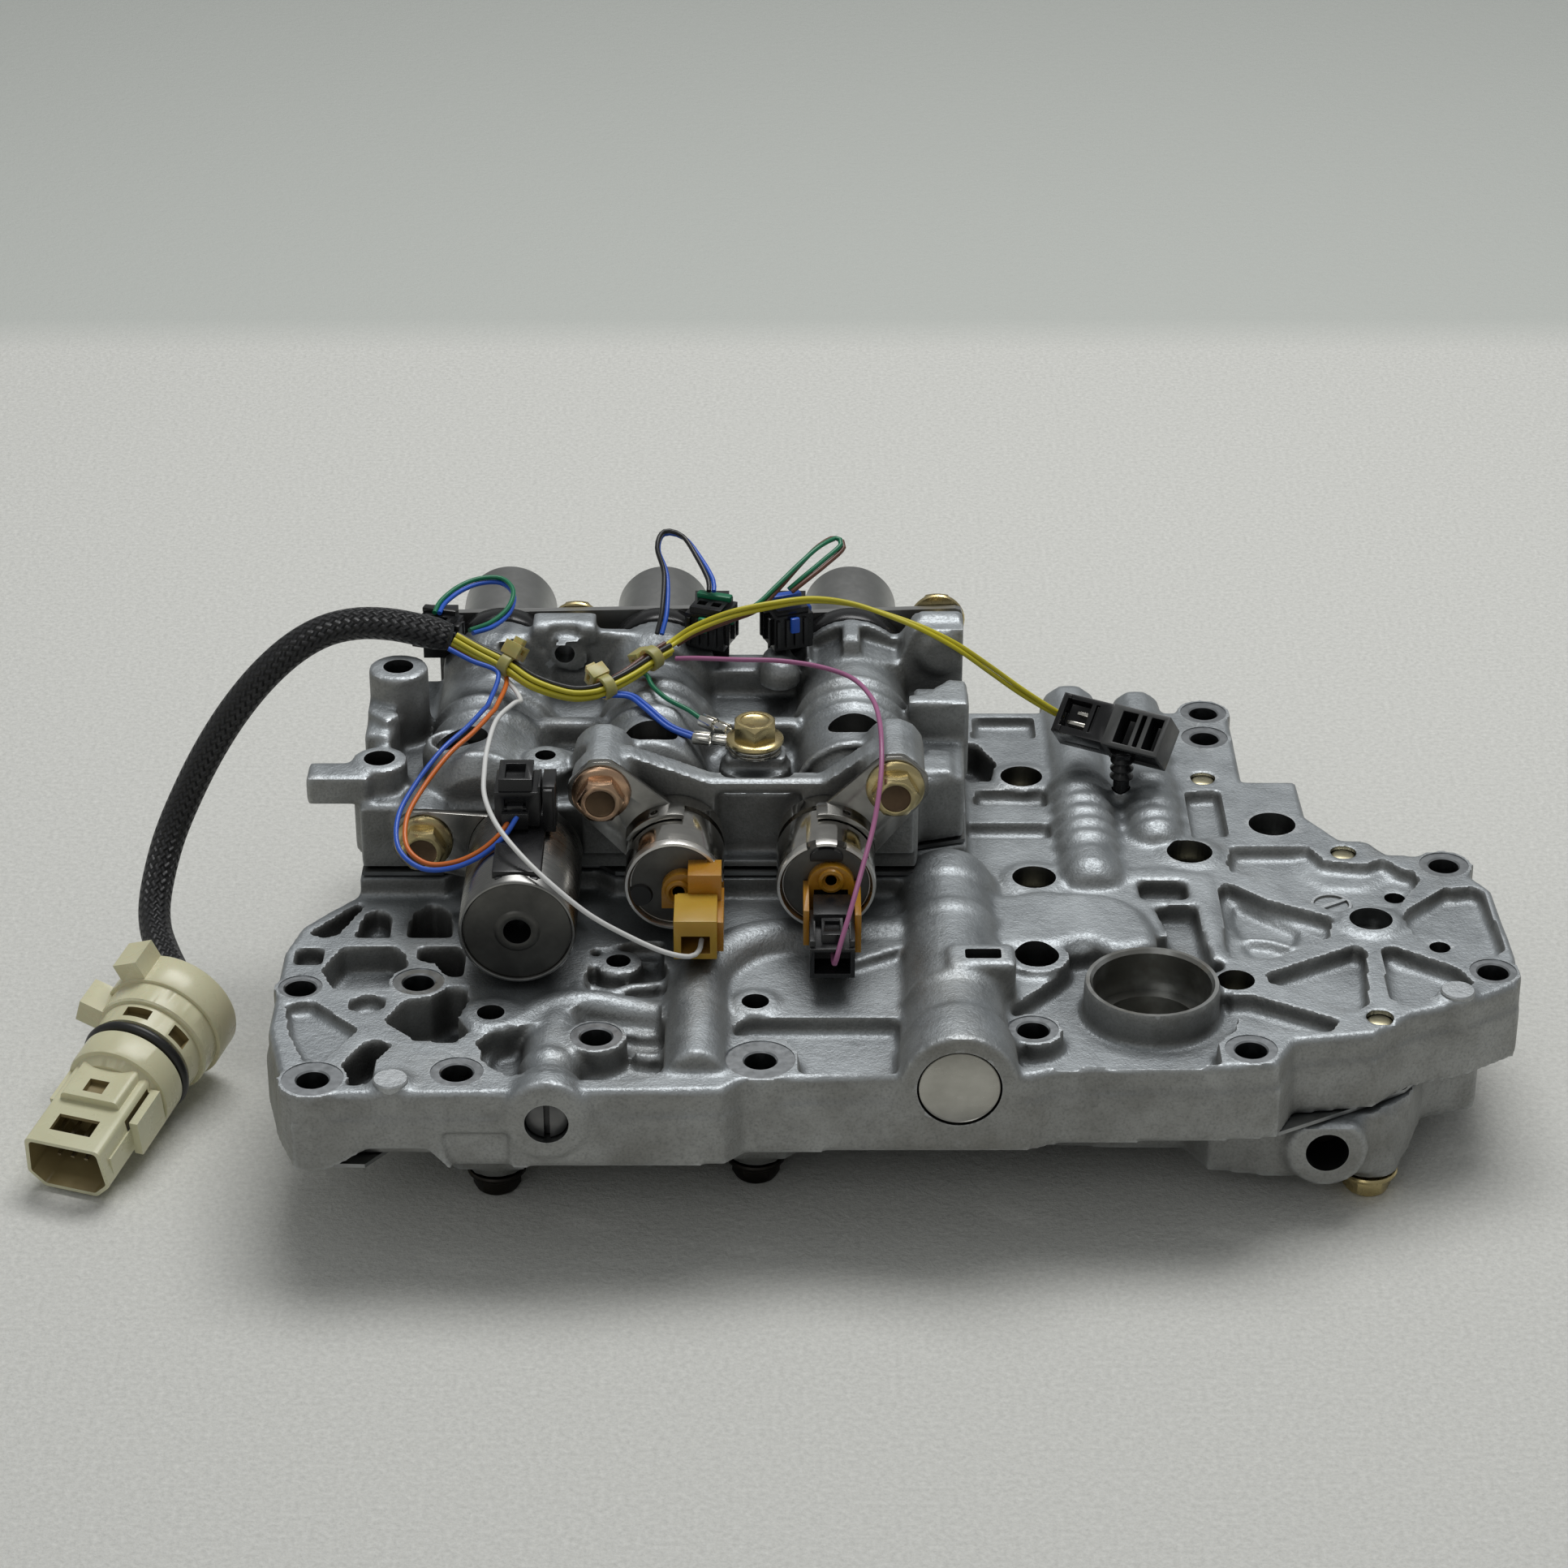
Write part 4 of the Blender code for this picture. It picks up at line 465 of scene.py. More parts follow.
CAST = cast_aluminium()
# The bored materials carry painted shade that darkens them deep in holes, bores and hollows; the socket has real oil
# stain as well.
BORE = bored("bored_aluminium", (0.46, 0.47, 0.47), (0.33, 0.34, 0.34), (40, 40, 2400))
BORE_Y = bored("bored_aluminium_y", (0.46, 0.47, 0.47), (0.33, 0.34, 0.34), (40, 2400, 40))
BOLT_HOLE = bored("bolt_holes", (0.44, 0.46, 0.475), (0.38, 0.395, 0.41), (500, 500, 500))
SOCKET = bored("stained_and_shaded_socket", (0.52, 0.53, 0.52), (0.38, 0.38, 0.36), (40, 40, 2400), 0.45)
STEEL = machined("sheet_steel", (0.30, 0.31, 0.31), (0.20, 0.20, 0.20), 0.28, 0.45, (60, 900, 900))
SPRING = machined("spring_steel", (0.34, 0.34, 0.35), (0.24, 0.24, 0.25), 0.25, 0.4, (900, 900, 900))
NICKEL = machined("nickel_plate", (0.60, 0.58, 0.54), (0.40, 0.385, 0.36), 0.07, 0.2, (30, 500, 30))
CAN = machined("dark_steel_can", (0.32, 0.315, 0.30), (0.20, 0.20, 0.195), 0.2, 0.38, (30, 1400, 30))
CAN_REAR = machined("grey_steel_can", (0.40, 0.40, 0.39), (0.32, 0.32, 0.31), 0.34, 0.46, (500, 500, 500))
FACE = machined("dark_steel_face", (0.15, 0.147, 0.135), (0.085, 0.083, 0.078), 0.36, 0.5, (900, 900, 900))
ZINC = machined("yellow_zinc", (0.72, 0.58, 0.28), (0.52, 0.44, 0.25), 0.2, 0.36, (300, 300, 300))
COPPER = machined("copper_zinc", (0.74, 0.46, 0.30), (0.50, 0.36, 0.24), 0.2, 0.36, (300, 300, 300))
TIN = machined("tinned_brass", (0.80, 0.78, 0.72), (0.66, 0.63, 0.56), 0.15, 0.3, (400, 400, 400))
AMBER = plastic("amber_plastic", (0.50, 0.225, 0.016), (0.36, 0.155, 0.012), 0.2, 0.36, Subsurface_Weight=0.12)
BLACK = plastic("black_plastic", (0.005, 0.005, 0.0055), (0.011, 0.011, 0.012), 0.2, 0.36)
# Painted shade: a darker copy of the ivory plastic for the connector's hollows and cut openings.
IVORY_PAINTED_SHADE = plastic("ivory_plastic_painted_shade", (0.30, 0.24, 0.11), (0.20, 0.15, 0.06), 0.3, 0.5)
IVORY = plastic("ivory_plastic", (0.68, 0.655, 0.45), (0.61, 0.58, 0.38), 0.2, 0.38, Subsurface_Weight=0.05)
RUBBER = plastic("black_rubber", (0.008, 0.008, 0.008), (0.02, 0.02, 0.02), 0.3, 0.5)
BLACK_SHEEN = plastic("black_plastic_sheen", (0.01, 0.01, 0.011), (0.02, 0.02, 0.022), 0.1, 0.22)
WORN_BLACK = plastic("worn_black_plastic", (0.03, 0.03, 0.03), (0.075, 0.077, 0.075), 0.35, 0.55)
AMBER_PALE = plastic("amber_plastic_pale", (0.52, 0.31, 0.035), (0.42, 0.245, 0.03), 0.25, 0.4,
                     Subsurface_Weight=0.1)
# Painted shade: a darker copy of the amber plastic for the inside of the shift plug's opening.
AMBER_PAINTED_SHADE = plastic("amber_plastic_painted_shade", (0.30, 0.15, 0.02), (0.18, 0.09, 0.015), 0.4, 0.55)
RUSTY = machined("aged_bolt_face", (0.20, 0.13, 0.075), (0.10, 0.065, 0.04), 0.3, 0.5, (300, 300, 300), 0.8)
STAMPED = machined("stamped_steel", (0.40, 0.39, 0.365), (0.22, 0.215, 0.20), 0.14, 0.3, (200, 40, 200))
PLATE = machined("retainer_plate_steel", (0.44, 0.44, 0.43), (0.33, 0.33, 0.32), 0.3, 0.45, (60, 900, 900))
DISC = machined("bright_steel_disc", (0.47, 0.46, 0.42), (0.34, 0.33, 0.295), 0.22, 0.42, (120, 900, 700))
DARK_PLUG = machined("dark_slotted_plug", (0.15, 0.15, 0.15), (0.08, 0.08, 0.08), 0.3, 0.45, (400, 400, 400))
# Painted highlight: a lighter copy of the can metal for the rolled rims of the shift cans.
RIM_PAINTED_HIGHLIGHT = machined("rolled_rim_painted_highlight", (0.82, 0.80, 0.76), (0.62, 0.60, 0.57), 0.24, 0.38, (400, 400, 400))
STUD = machined("stud_end", (0.58, 0.53, 0.36), (0.36, 0.33, 0.22), 0.25, 0.42, (300, 300, 300))
# Near-black steel for the short bottom bolts; on the manual valve it is painted shade, standing for the shadow in its
# bore.
OILED_STEEL_AND_SHADE = machined("oiled_black_steel_and_painted_shade", (0.05, 0.045, 0.04), (0.02, 0.018, 0.016), 0.25, 0.5, (300, 300, 300))
TIE = plastic("nylon_tie", (0.50, 0.42, 0.15), (0.36, 0.29, 0.09), 0.28, 0.45, Subsurface_Weight=0.2)
WIRES = {
    "yellow": plastic("yellow_wire", (0.62, 0.55, 0.02), (0.50, 0.44, 0.03), 0.28, 0.42),
    "blue": plastic("blue_wire", (0.02, 0.11, 0.60), (0.02, 0.09, 0.45), 0.28, 0.42),
    "white": plastic("white_wire", (0.78, 0.78, 0.77), (0.66, 0.66, 0.64), 0.28, 0.42),
    "purple": plastic("purple_wire", (0.42, 0.15, 0.29), (0.33, 0.11, 0.23), 0.28, 0.42),
    "green": plastic("green_wire", (0.005, 0.19, 0.085), (0.005, 0.13, 0.06), 0.28, 0.42),
    "orange": plastic("orange_wire", (0.72, 0.17, 0.02), (0.56, 0.13, 0.02), 0.28, 0.42),
    "brown": plastic("brown_wire", (0.14, 0.05, 0.03), (0.10, 0.04, 0.025), 0.28, 0.42),
    "black": plastic("black_wire", (0.012, 0.012, 0.012), (0.02, 0.02, 0.02), 0.28, 0.42),
}


# Camera, first, at the photograph's place

def make_camera():
    data = bpy.data.cameras.new("camera")
    data.sensor_width, data.lens = 36.0, 93.17
    data.clip_start, data.clip_end = 0.05, 30.0
    camera = bpy.data.objects.new("camera", data)
    camera.location = (-0.0279, -0.87959, 0.553)
    camera.rotation_euler = (radians(61.5), 0, 0)
    bpy.context.scene.collection.objects.link(camera)
    bpy.context.scene.camera = camera


make_camera()


# Free cord: the braided sleeve

SLEEVE_ROUTE = (
    (-84.4, 136.0, 95.9), (-91.6, 137.4, 97.2), (-99.9, 138.8, 98.2), (-108.2, 139.6, 98.0), (-116.5, 139.4, 96.0),
    (-124.7, 138.4, 91.4), (-133.0, 136.9, 84.0), (-141.0, 136.0, 74.0), (-148.0, 134.6, 63.0), (-153.8, 132.6,
                                                                                                 52.0),
    (-158.2, 128.6, 42.4), (-160.6, 122.0, 34.6), (-161.3, 115.4, 29.2), (-160.2, 108.6, 26.0), (-157.6, 101.4,
                                                                                                 24.2),
    (-154.8, 95.0, 23.0), (-152.3, 89.4, 22.0), (-151.3, 84.4, 21.1),
)
SLEEVE_R = 4.1


def braid():
    """Woven yarns read from the tube's own UV map: 14 yarns each way round, over one and under one."""
    n = Nodes("braided_sleeve")
    split = n.node("ShaderNodeSeparateXYZ")
    n.link(n.node("ShaderNodeTexCoord").outputs["UV"], split.inputs["Vector"])
    around, along = n.math("MULTIPLY", split.outputs["X"], 14.0), n.math("MULTIPLY", split.outputs["Y"], 0.42)
    strands = []
    for sign in ("ADD", "SUBTRACT"):
        phase = n.math(sign, around, along)
        middle = n.math("SUBTRACT", n.math("FRACT", phase, 0.0), 0.5)
        strands.append((n.math("FLOOR", phase, 0.0), n.math("ABSOLUTE", middle, 0.0)))
    parity = n.math("ABSOLUTE", n.math("MODULO", n.math("ADD", strands[0][0], strands[1][0]), 2.0), 0.0)
    gap = n.math("ADD", n.math("MULTIPLY", strands[0][1], parity),
                 n.math("MULTIPLY", strands[1][1], n.math("SUBTRACT", 1.0, parity)))
    height = n.span(gap, 1.0, 0.0, 0.1, 0.5)
    yarn = n.noise(2600, 2, 0.5)
    # Painted shade: the colour follows the weave's height, so the gaps between yarns are darker than the yarn tops.
    n.colour(n.blend(n.span(n.math("ADD", height, n.math("MULTIPLY", yarn, 0.4)), 0, 1, 0.2, 1.3),
                     (0.002, 0.002, 0.002), (0.024, 0.024, 0.026)))
    n.rough(n.span(yarn, 0.34, 0.55))
    n.bump(n.math("ADD", height, n.math("MULTIPLY", yarn, 0.25)), 0.0005, 0.9)
    return n.set(Metallic=0.0)


def sleeve():
    """The braided tube on its route, drawn in at its mouth round the wires."""
    path = smooth(SLEEVE_ROUTE, 1.2)
    count = 40
    rings, runs, run = [], [], 0.0
    for i, (point, side, up) in enumerate(frames_along(path)):
        run += (path[i] - path[i - 1]).length if i else 0.0
        flare = 0.0 if i > 3 else -0.25 * (3 - i)
        rings.append([point + side * x + up * y for x, y in circle(0, 0, SLEEVE_R + flare, count)])
        runs.append(run)
    item = linked("braided_sleeve", mesh_from("braided_sleeve", loft(rings)))
    layer = item.data.uv_layers.new(name="along")
    for polygon in item.data.polygons:
        corners = [item.data.loops[k].vertex_index for k in polygon.loop_indices]
        sides = [c % count for c in corners]
        wrap = len(corners) == 4 and 0 in sides and count - 1 in sides
        for k, corner, s in zip(polygon.loop_indices, corners, sides):
            layer.data[k].uv = (((s or count) if wrap else s) / count, runs[corner // count])
    item.data.materials.append(braid())
    shaded(item, 60)
    attach(item, ("loom_sleeve",), "stack")
    real = [metres(p) for p in path]
    length = sum((Vector(a) - Vector(b)).length for a, b in zip(real, real[1:]))
    return item, real, length


SLEEVE, SLEEVE_PATH, SLEEVE_LENGTH = sleeve()


# Castings: the CAD shape with its holes filled, softened to cast fillets, and its holes cut again

def with_parts(mesh, shapes):
    """A copy of the CAD mesh with closed shapes added, in metres."""
    points = [tuple(v.co) for v in mesh.vertices]
    faces = [tuple(p.vertices) for p in mesh.polygons]
    extra, more = merge(shapes)
    base = len(points)
    made = bpy.data.meshes.new("blank")
    made.from_pydata(points + [metres(p) for p in extra], [], faces + [tuple(i + base for i in f) for f in more])
    made.update()
    return made


def welded(mesh):
    """The CAD mesh with its split vertices joined, so that it is closed."""
    item = linked("weld", mesh.copy())
    step = item.modifiers.new("weld", "WELD")
    step.merge_threshold = 0.000001
    baked(item)
    made = item.data
    bpy.data.objects.remove(item)
    return made


def skin(item, voxel):
    """Gives the object a modifier that rebuilds it as one closed skin."""
    step = item.modifiers.new("skin", "REMESH")
    step.mode, step.voxel_size, step.use_smooth_shade = "VOXEL", voxel / 1000, True


def triangles(mesh):
    return sum(len(p.vertices) - 2 for p in mesh.polygons)


def casting(node, pockets, adds, late, cuts, voxel, rounds, limit):
    """A casting's finished piece.

    Pockets are cut and forms added first, late cuts go through what was added, and the skin is softened. The
    groups of cuts come last and stay crisp; their shapes must not overlap one another inside the metal.
    """
    item = linked(node + "_skin", welded(NODES[node].data))
    item.data.materials.clear()
    carve(item, pockets)
    item.data = with_parts(item.data, adds)
    skin(item, voxel)
    if late:
        baked(item)
        carve(item, late, None, False)
        skin(item, voxel)
    step = item.modifiers.new("soften", "SMOOTH")
    step.factor, step.iterations = 0.5, rounds
    baked(item)
    count = triangles(item.data)
    if count > limit:
        item.modifiers.new("fewer", "DECIMATE").ratio = limit / count
        baked(item)
    item.data.materials.clear()
    item.data.materials.append(CAST)
    carve_groups(item, cuts, False)
    shaded(item, 38)
    attach(item, (node,), "stack")


# Holes and bosses as (x, y, boss radius), (x, y, tip height) and (x, y, radius, depth)

CASE_BOSSES = (
    (-108.5, 4.5, 8.5), (-75.5, 7.5, 7.5), (-115.5, 45, 6.6), (-87.5, 47.5, 7.5), (-44, 23, 7.5), (-5.5, 12.7, 9.5),
    (58.5, 26, 7.3), (108.8, 17.3, 7.5), (170.5, 52.3, 7.0), (166, 104, 7.5), (113, 187, 7.5), (112, 172.5, 7.5),
)
BOTTOM_BOLTS = (
    (140.6, 31.5, 46.6), (141.5, 110.5, 46.6), (109.5, 150.0, 46.6), (-69.2, 32.0, 43.5),
    (-6.8, 37.0, 43.0), (-40.0, 165.0, 44.0),
)
DECK_RECESSES = (
    (62, 149.5, 5.5, 10.0), (102.5, 109.5, 5.8, 9.0), (62.5, 96.5, 5.5, 9.0), (-40, 57.5, 3.0, 9.0),
    (119.5, 97.5, 2.2, 8.0), (152.5, 93.7, 2.6, 8.0), (160.5, 70, 2.6, 8.0),
)


# Deck detail, as (depth, outline)
FINE_POCKETS = (
    (3.6, ((111.8, 106), (115, 113), (130, 113), (132.0, 102.2), (135.5, 97.3), (145.2, 97.3), (151.7, 102.5),
           (158, 101), (158.5, 96.1), (151.4, 83), (135.1, 81), (111.7, 104))),
    (3.8,
     ((163.5, 91.2), (171.5, 93), (173.6, 90.5), (175, 62.5), (172, 60), (163.7, 57.5), (160.0, 58.5),
      (155.5, 64.8),
           (153.5, 72), (153.4, 79.1))),
    (4.6, ((115.7, 51.0), (139, 64.6), (141.0, 61.9), (138.4, 37), (134.6, 34), (116.1, 48.2))),
    (4.6,
     ((146.9, 61.9), (154.5, 59.6), (165.0, 48.5), (159.0, 45.5), (154, 41), (152, 37.5), (146.8, 36.8),
      (144.2, 40))),
    (4.2, ((109.5, 96), (117.1, 89), (133.5, 72.2), (132.8, 68.6), (118.6, 59), (108.3, 58.5), (107.4, 64.8))),
    (5.0, ((88.3, 96.0), (93.9, 98.6), (100.2, 94.7), (100.3, 86.9), (88.8, 87.6))),
    (5.5, ((91.5, 84), (101.8, 84), (102.6, 63), (97, 61), (94, 64), (93.5, 74.2))),
    (9.0, ((46.2, 168.9), (50.9, 168.9), (56.0, 157), (54.5, 155), (50.8, 148), (48, 147.1))),
    (4.4, ((4, 6.8), (26, 6.8), (27.4, 15), (27.2, 30.8), (-9.6, 30.8), (-11, 24), (1, 22))),
    (5.8, ((112, 92), (121, 83.5), (127, 78), (124.5, 66.5), (118, 63), (113, 68), (110.5, 84))),
    (7.5,
     ((-52, 5), (-31, 5), (-28, 9), (-28, 30.6), (-34, 30.6), (-36, 31.8), (-47, 31.8), (-48.5, 27), (-52, 25))),
    (5.5, ((-47.5, 37), (-28, 37.4), (-28, 53), (-31, 63), (-35, 63), (-46.5, 60), (-47.5, 50))),
    (8.0, ((-70.5, 13), (-65.5, 7.5), (-62, 6.5), (-47.5, 6.5), (-46.5, 14), (-47.5, 27), (-52, 30), (-60, 28.5),
           (-68, 24))),
)
PLATEAU = (
    (45, 84.5), (57.1, 86.2), (63.7, 88.3), (70.9, 87.3), (78.9, 86.5), (83.6, 84.1), (88.0, 78.3), (90.3, 69.8),
    (90.5, 62.0), (83.3, 58.7), (79.0, 59.2), (75.5, 62.0), (73.3, 64.0), (70, 62.5), (67.7, 61.1), (55.0,
                                                                                                     59.2), (45,
                                                                                                             57.7),
)


def deck_pockets():
    """Pockets that widen or deepen the ones of the CAD deck, and the low corners of the plateau."""
    shapes = [slab(rounded(points, 1.6), DECK_Z - depth, DECK_Z + 9) for depth, points in FINE_POCKETS]
    shapes.append(slab([(51, 59), (66, 58.5), (84, 62.3), (94.5, 72.5), (95.5, 92), (88, 98.6), (51, 98.6)],
                       DECK_Z - 0.1, DECK_Z + 9))
    return shapes


def ribbed(x, radius, y0, count, y1, nose):
    """A barrel with closely spaced round ribs that ends in a plain nose."""
    profile = [(nose - 6.5, radius * 0.4), (nose - 5, radius * 0.82), (nose - 2, radius + 0.3),
               (nose, radius + 0.7),
               (nose + 6.5, radius + 0.7), (nose + 7.5, radius + 0.2)]
    for k in range(count):
        y = y0 + 6.5 * k
        profile += [(y - 3.2, radius + 0.1), (y - 1.6, radius + 0.7), (y, radius + 1.2), (y + 1.6, radius + 0.7)]
    profile += [(y0 + 6.5 * count - 3, radius), (y1, radius * 0.9)]
    return lathe_y(x, 45.0, sorted(set(profile)), 48)


def deck_forms():
    """Forms that the CAD deck shows coarsely or leaves out: ribs, rounded plateau, worm channel, collars, port."""
    worm = ((-20.2, 7.5, 46.2), (-20.2, 30, 46.4), (-20.2, 46, 46.4), (-16.5, 56, 46.4), (-8.5, 64.2, 46.4),
            (4, 67.6, 46),
            (28, 69, 45.4))
    plateau = list(reversed(rounded(PLATEAU, 4.0)))
    shapes = [tube(worm, 7.0, 3.0, 24),
              loft([[(x, y, z) for x, y in grown(plateau, d)] for d, z in
                    ((0.6, 41), (0.3, 48.6), (-0.5, 49.6), (-1.6, 50.3), (-3.0, 50.6))])]
    shapes += [pillar(x, y, r - 0.2, 36, DECK_Z) for x, y, r in CASE_BOSSES[4:7]]
    shapes.append(pillar(*PORT, 8.0, 38, 49.6))
    shapes += [pillar(62.5, 96.5, 7.6, 40, DECK_Z + 0.7), pillar(102.5, 109.5, 7.5, 40, DECK_Z + 0.7),
               pillar(62, 149.5, 7.2, 40, DECK_Z + 0.7)]
    shapes += [ribbed(77.0, 8.0, 111.0, 6, 192.0, 97.5), ribbed(95.0, 7.2, 124.0, 4, 190.0, 119.5)]
    shapes += [pillar(*HUB, 7.2, 40, DECK_Z + 1.0), pillar(-90.3, 2.6, 4.4, 38, DECK_Z + 1.2),
               pillar(160, 41.0, 4.4, 38, DECK_Z + 0.9), pillar(-68.9, 32.4, 6.6, 36, DECK_Z + 0.9),
               pillar(-40, 57.6, 5.8, 38, DECK_Z - 0.4), pillar(-6.8, 37.2, 5.4, 38, DECK_Z + 0.9)]
    shapes += [lathe_y(-54.5, 41.2,
                       ((-3.1, 9.6), (-2.8, 10.1), (3.4, 10.1), (4.2, 8.8), (8, 8.6), (9, 7.0), (14, 7.0),
                                     (14.6, 7.7), (17, 7.7), (17.6, 7.0), (44, 7.0)), 48)]
    shapes += [tube(((-63, 29.5, 44.0), (-59, 36, 44.6), (-52, 40.5, 44.6), (-44, 41.2, 44.0), (-36, 39.6, 43.0),
                     (-27, 38.4, 42.0)), 4.6,
                    2.5, 16),
               tube(((-47, 42.8, 44.2), (-42, 41.8, 44.4), (-38, 44.0, 44.4), (-33, 42.6, 44.4), (-27, 44.4, 44.2)),
                    1.7, 2, 12),
               tube(((-47, 49.5, 44.2), (-41, 47, 44.4), (-37, 49.3, 44.4), (-32, 50.2, 44.4), (-27, 52, 44.2)),
                    1.7, 2, 12),
               tube(((-35, 22, 42.5), (-31, 20.5, 42.8), (-27.5, 21.5, 43)), 1.8, 2, 12),
               tube(((112, 74, 42.6), (119, 73.5, 42.8), (124, 70.5, 42.8)), 1.5, 2, 12)]
    shapes += [slab(rounded([(13, 50), (30, 60), (30, 78), (22, 71), (11, 60)], 2.5), 40, DECK_Z + 2.6),
               slab(rounded([(39, 37.0), (55, 37.0), (55, 47.4), (39, 47.4)], 2.4), 43, 59.0),
               slab(rounded([(79, 100.2), (83, 96), (101, 95.6), (103.5, 57), (106.6, 57), (106.4, 98),
                             (96, 101.5)], 1.2),
                    42, DECK_Z + 0.5),
               lathe_y(*REGULATOR, ((49.5, 12.3), (64.5, 12.3)), 48), block(43, 52.2, 53, 60, 41, 50)]
    shapes += [lathe_y(*REGULATOR,
                       ((4.6, 13.9), (13, 14.1), (20.5, 13.8), (22.5, 12.4), (34, 12.4), (34.8, 13.0), (37, 13.0),
                                  (37.8, 12.4), (66, 12.4), (67, 13.0), (71, 13.0), (72, 12.0), (84, 12.0), (85.5,
                                                                                                             12.8),
                                  (93, 12.8), (97, 11.8), (100, 9.0), (101.5, 4.0)), 64)]
    shapes += [pillar(108.2, 48.2, 6.4, 36, DECK_Z - 0.2)]
    return shapes


def main_skin():
    fill = [pillar(x, y, 4.2, MAIN_Z, DECK_Z) for x, y, _ in CASE_BOSSES]
    fill += [pillar(x, y, 3.6, MAIN_Z, min(z, DECK_Z - 1.4)) for x, y, z in BOTTOM_BOLTS]
    fill += [pillar(x, y, r + 0.3, DECK_Z - d - 0.2, DECK_Z - (4.4 if r < 2.9 else 0.2)) for x, y, r,
             d in DECK_RECESSES]
    fill += [
        lathe_y(*REGULATOR, ((4.7, 10.2), (12, 10.2), (12.1, 7.8), (93.2, 7.8))),
        lathe_y(*MODIFIER, ((-3.1, 5.4), (44.2, 5.4))),
        pillar(*STRAINER, 15.6, MAIN_Z + 4.8, 53.4),
        pillar(*PORT, 5.8, MAIN_Z + 8.8, DECK_Z + 1.4),
        pillar(*HUB, 5.5, MAIN_Z + 5, DECK_Z + 0.7),
        pillar(*FLANGE_HOLE, 6.3, MAIN_Z, DECK_Z),
        pillar(*STEM, 2.8, DECK_Z - 9.2, DECK_Z + 3),
    ]
    drills = [pillar(x, y, 3.3, MAIN_Z - 3, DECK_Z + 9 if z > 46 or z < 43.8 else z + 1, 24) for x, y,
              z in BOTTOM_BOLTS]
    drills += [pillar(x, y, r, DECK_Z - d, DECK_Z + 9, 28) for x, y, r, d in DECK_RECESSES]
    drills += [
        pillar(*PORT, 5.4, MAIN_Z + 9, DECK_Z + 9),
        stepped(*HUB, ((MAIN_Z + 5, 2.5), (DECK_Z - 4, 2.5), (DECK_Z - 3.99, 5.3), (DECK_Z + 9, 5.3))),
        pillar(*FLANGE_HOLE, 6, MAIN_Z - 3, DECK_Z + 9),
        pillar(*STEM, 2.5, DECK_Z - 9, DECK_Z + 9, 20),
        pillar(108.2, 48.2, 4.6, 37, DECK_Z + 3.9, 28),
        slab(rounded([(42.9, 39.9), (51.5, 39.9), (51.5, 44.3), (42.9, 44.3)], 0.9), 53.0, 60),
    ]
    bores = [
        lathe_y(*REGULATOR, ((-4, 9.9), (11.6, 9.9), (11.61, 7.52), (93, 7.52))),
        lathe_y(*MODIFIER, ((-9, 5.12), (44, 5.12))),
    ]
    socket = [stepped(*STRAINER,
                      ((33, 11.2), (41, 11.2), (41.01, 14.2), (51.2, 14.2), (52, 14.9), (52.01, 18.2), (58, 18.2)))]
    late = [wall([(-109, 25), (-106.5, 27.2), (-96.0, 33.2), (-82.2, 33.2), (-78.4, 28.8), (-76.8, 25)], -9, 3.5),
            wall([(-75.4, 25), (-77.8, 31), (-79.2, 36.6), (-78.4, 37.6), (-63.2, 37.6), (-63.2, 25)], -9, -1.2)]
    fill.append(block(-94.5, -83, -2.9, 7.5, MAIN_Z, MAIN_Z + 5.5))
    bolts = [stepped(x, y,
                     ((MAIN_Z - 3, 3.75), (DECK_Z - 0.6, 3.75), (DECK_Z - 0.24, 4.1), (DECK_Z - 0.23, r - 1.3),
                            (DECK_Z + 4, r - 1.2))) for x, y, r in CASE_BOSSES]
    casting("main_casting", deck_pockets(), fill + deck_forms(), late,
            ((bolts, BOLT_HOLE), (drills, BORE), (bores, BORE_Y), (socket, SOCKET)), 0.8, 3, 180000)


def deck_marks():
    """Crisp little forms on the deck: ejector discs, the dial mark and the stud ends in their recesses."""
    discs = [stepped(x, y, ((DECK_Z - 1, 4.1), (DECK_Z + 1.2, 4.1), (DECK_Z + 1.6, 3.8)), 40)
             for x, y in ((-90.3, 2.2), (160.3, 41.2))]
    dial = stepped(136, 88.5,
                   ((42, 5.3), (DECK_Z - 2.7, 5.3), (DECK_Z - 2.4, 5.1), (DECK_Z - 2.4, 4.4), (DECK_Z - 3.0, 4.2),
                               (DECK_Z - 3.0, 0.1)), 48)
    bar = placed(block(-4.3, 4.3, -0.55, 0.55, DECK_Z - 4, DECK_Z - 2.4), Matrix.Translation((136, 88.5, 0))
                 @ Matrix.Rotation(radians(32), 4, "Z"))
    piece("deck_marks", discs + [dial, bar], CAST, angle=35)
    tips = [stepped(x, y, ((z - 3, 3.05), (z - 0.5, 3.05), (z, 2.3), (z, 0.1)), 32) for x, y, z in
            ((140.6, 31.5, 47.0), (141.5, 110.5, 47.3), (109.5, 150.0, 47.3), (102.5, 109.5, 42.4),
             (62.5, 96.5, 42.2),
             (62.0, 149.5, 41.8), (108.2, 48.2, 41.2))]
    piece("stud_ends", tips, STUD, angle=35)


